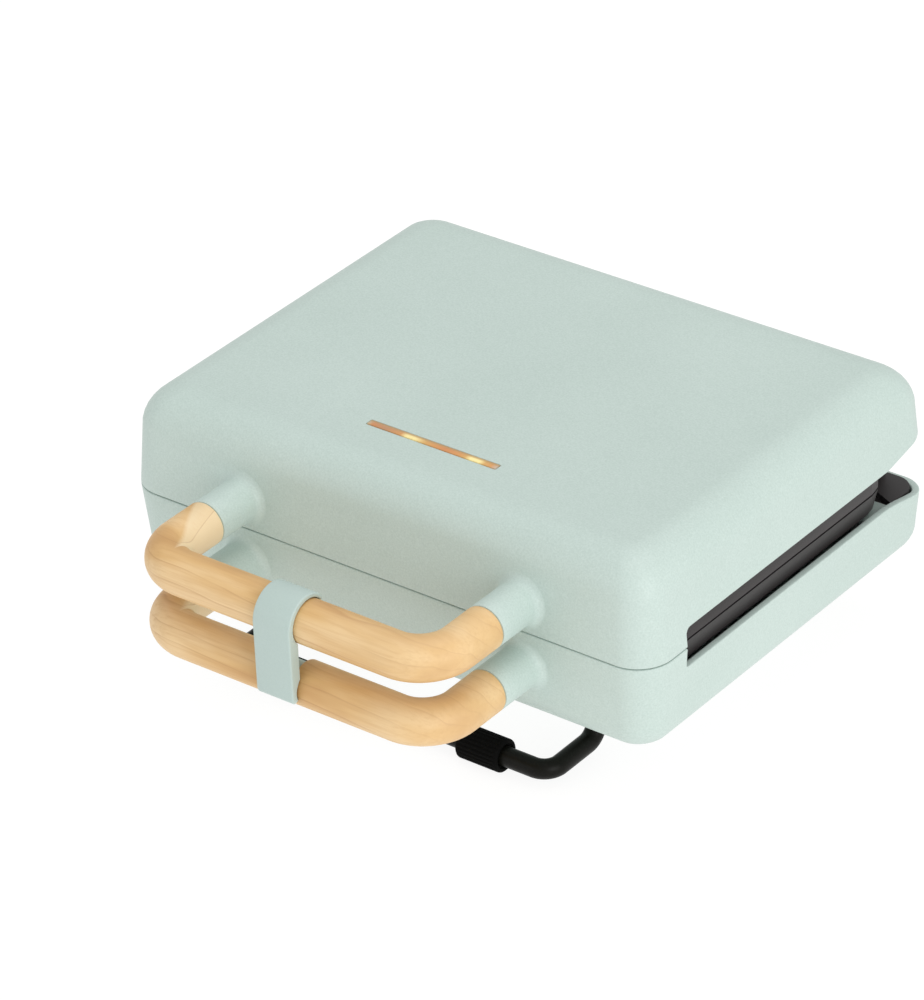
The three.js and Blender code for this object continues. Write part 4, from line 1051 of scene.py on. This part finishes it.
# colours of the painted highlight on the left leg
LEG_LIGHT_A, LEG_LIGHT_B = (0.79, 0.59, 0.335), (0.86, 0.68, 0.43)
MINT = plastic("mint_plastic", (0.478, 0.583, 0.538), (0.569, 0.674, 0.63), 0.5, 1400, 0.00003, 0.04)
MINT_CLIP = plastic("clip_plastic", (0.455, 0.562, 0.527), (0.485, 0.592, 0.557), 0.42, 1500, 0.00002, 0.04)
BLACK = plastic("black_plastic", (0.034, 0.030, 0.030), (0.046, 0.042, 0.042), 0.46, 1800, 0.00004, 0.06,
                specular=0.35)
RUBBER = plastic("black_rubber", (0.002, 0.002, 0.002), (0.004, 0.004, 0.0035), 0.8, 1200, 0.00006, 0.04,
                 specular=0.06)
CERAMIC = plastic("ceramic", (0.66, 0.63, 0.55), (0.78, 0.75, 0.67), 0.6, 900, 0.00004)
BOARD = plastic("circuit_board", (0.04, 0.11, 0.045), (0.07, 0.16, 0.06), 0.45, 700, 0.00003, 0.06)
NON_STICK = plastic("non_stick", (0.018, 0.017, 0.017), (0.032, 0.03, 0.03), 0.38, 2200, 0.00005, 0.06,
                    metallic=0.35)
BLACK_STEEL = plastic("black_steel", (0.004, 0.004, 0.003), (0.007, 0.007, 0.005), 0.4, 900, 0.00004,
                      specular=0.12)
GLOW = plastic("lamp_glow", (0.95, 0.75, 0.35), (1.0, 0.85, 0.5), 0.2, 600, 0.00002)
STEEL = metal("zinc_steel", (0.42, 0.43, 0.45), (0.56, 0.57, 0.59), 0.36, 1.0, (1, 1, 12))
SHEATH = metal("heater_sheath", (0.12, 0.12, 0.12), (0.2, 0.19, 0.18), 0.55, 0.8, (4, 1, 1))
SHEET = metal("reflector_sheet", (0.56, 0.58, 0.6), (0.68, 0.7, 0.72), 0.3, 1.0, (14, 1, 1))
WOOD = wood_material()
AMBER = amber_material()

# -------------------- object
build_lid()
build_base()
build_grip("upper_wood_grip", "upper_handle_grip", "lid", UPPER_AXIS, False)
build_grip("lower_wood_grip", "lower_handle_grip", "base", LOWER_AXIS, True)
build_clip()
build_legs()
build_plate("lower_plate", "lower_donut_plate", "base", -1)
build_plate("upper_plate", "upper_donut_plate", "lid", 1)
build_hinge()
build_gland()
build_screws()
build_wire_sleeve()
build_small()

# finishes of the CAD's own pieces that stay visible; those not named are steel
FINISH = {
    "lower_heating_element": SHEATH, "upper_heating_element": SHEATH,
    "lower_heat_reflector": SHEET, "upper_heat_reflector": SHEET,
    "power_lamp": GLOW, "ready_lamp": GLOW,
}
for node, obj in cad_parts.items():
    if not obj.hide_render:
        obj.data.materials.clear()
        obj.data.materials.append(FINISH.get(node, STEEL))

# -------------------- stage
FLOOR_HALF = 6  # metres
floor_corners = [(x * FLOOR_HALF, y * FLOOR_HALF, 0) for x, y in ((-1, -1), (1, -1), (1, 1), (-1, 1))]
floor = add_object("floor", new_mesh("floor", floor_corners, [(0, 1, 2, 3)]))
look = Look("floor_white")
shade = look.ramp(look.noise(2.5, 2), [(0.3, (0.15, 0.146, 0.142)), (0.7, (0.165, 0.161, 0.157))])
look.surface(Base_Color=shade, Roughness=0.9, Specular_IOR_Level=0.1, Emission_Color=(1, 1, 1),
             Emission_Strength=0.89)
floor.data.materials.append(look.material)


def softbox(name, at, aim, size, power):
    """White rectangular light; places and sizes are in metres, power in watts."""
    data = bpy.data.lights.new(name, "AREA")
    data.shape = "RECTANGLE"
    data.size, data.size_y = size
    data.energy = power
    obj = add_object(name, data)
    obj.location = at
    obj.rotation_euler = (Vector(aim) - Vector(at)).to_track_quat("-Z", "Y").to_euler()


softbox("key_right", (1.6, -0.6, 0.65), (0, 0, 0.05), (1.0, 1.0), 12)
softbox("top", (0.1, 0.3, 1.85), (0, 0, 0), (1.2, 1.2), 9.5)
softbox("front", (-0.7, -1.8, 0.6), (0, 0, 0.05), (1.4, 1.0), 3.0)

world = bpy.data.worlds.new("studio")
world.use_nodes = True
background = world.node_tree.nodes["Background"].inputs
background["Color"].default_value = (1, 1, 1, 1)
background["Strength"].default_value = 0.65
bpy.context.scene.world = world
bpy.context.scene.view_settings.view_transform = "Standard"

# camera: its viewing angles and its distance in metres, about the casings' own origin
AZIMUTH, ELEVATION, ROLL, DISTANCE = math.radians(37.63), math.radians(31.80), math.radians(-2.10), 2.0607
SENSOR, LENS_PER_SENSOR = 36, 5.669
back = Vector((math.sin(AZIMUTH) * math.cos(ELEVATION), -math.cos(AZIMUTH) * math.cos(ELEVATION),
               math.sin(ELEVATION)))
level = Vector((math.cos(AZIMUTH), math.sin(AZIMUTH), 0))
raised = back.cross(level)
right = math.cos(ROLL) * level + math.sin(ROLL) * raised
above = -math.sin(ROLL) * level + math.cos(ROLL) * raised
eye = back * DISTANCE + Vector(ORIGIN * MM)
camera_data = bpy.data.cameras.new("camera")
camera_data.sensor_fit = "HORIZONTAL"
camera_data.sensor_width = SENSOR
camera_data.lens = SENSOR * LENS_PER_SENSOR
camera_data.shift_x, camera_data.shift_y = -0.0775, 0.0625
camera_data.clip_end = 20
camera = add_object("camera", camera_data)
camera.matrix_world = Matrix.Translation(eye) @ Matrix((right, above, back)).transposed().to_4x4()
bpy.context.scene.camera = camera
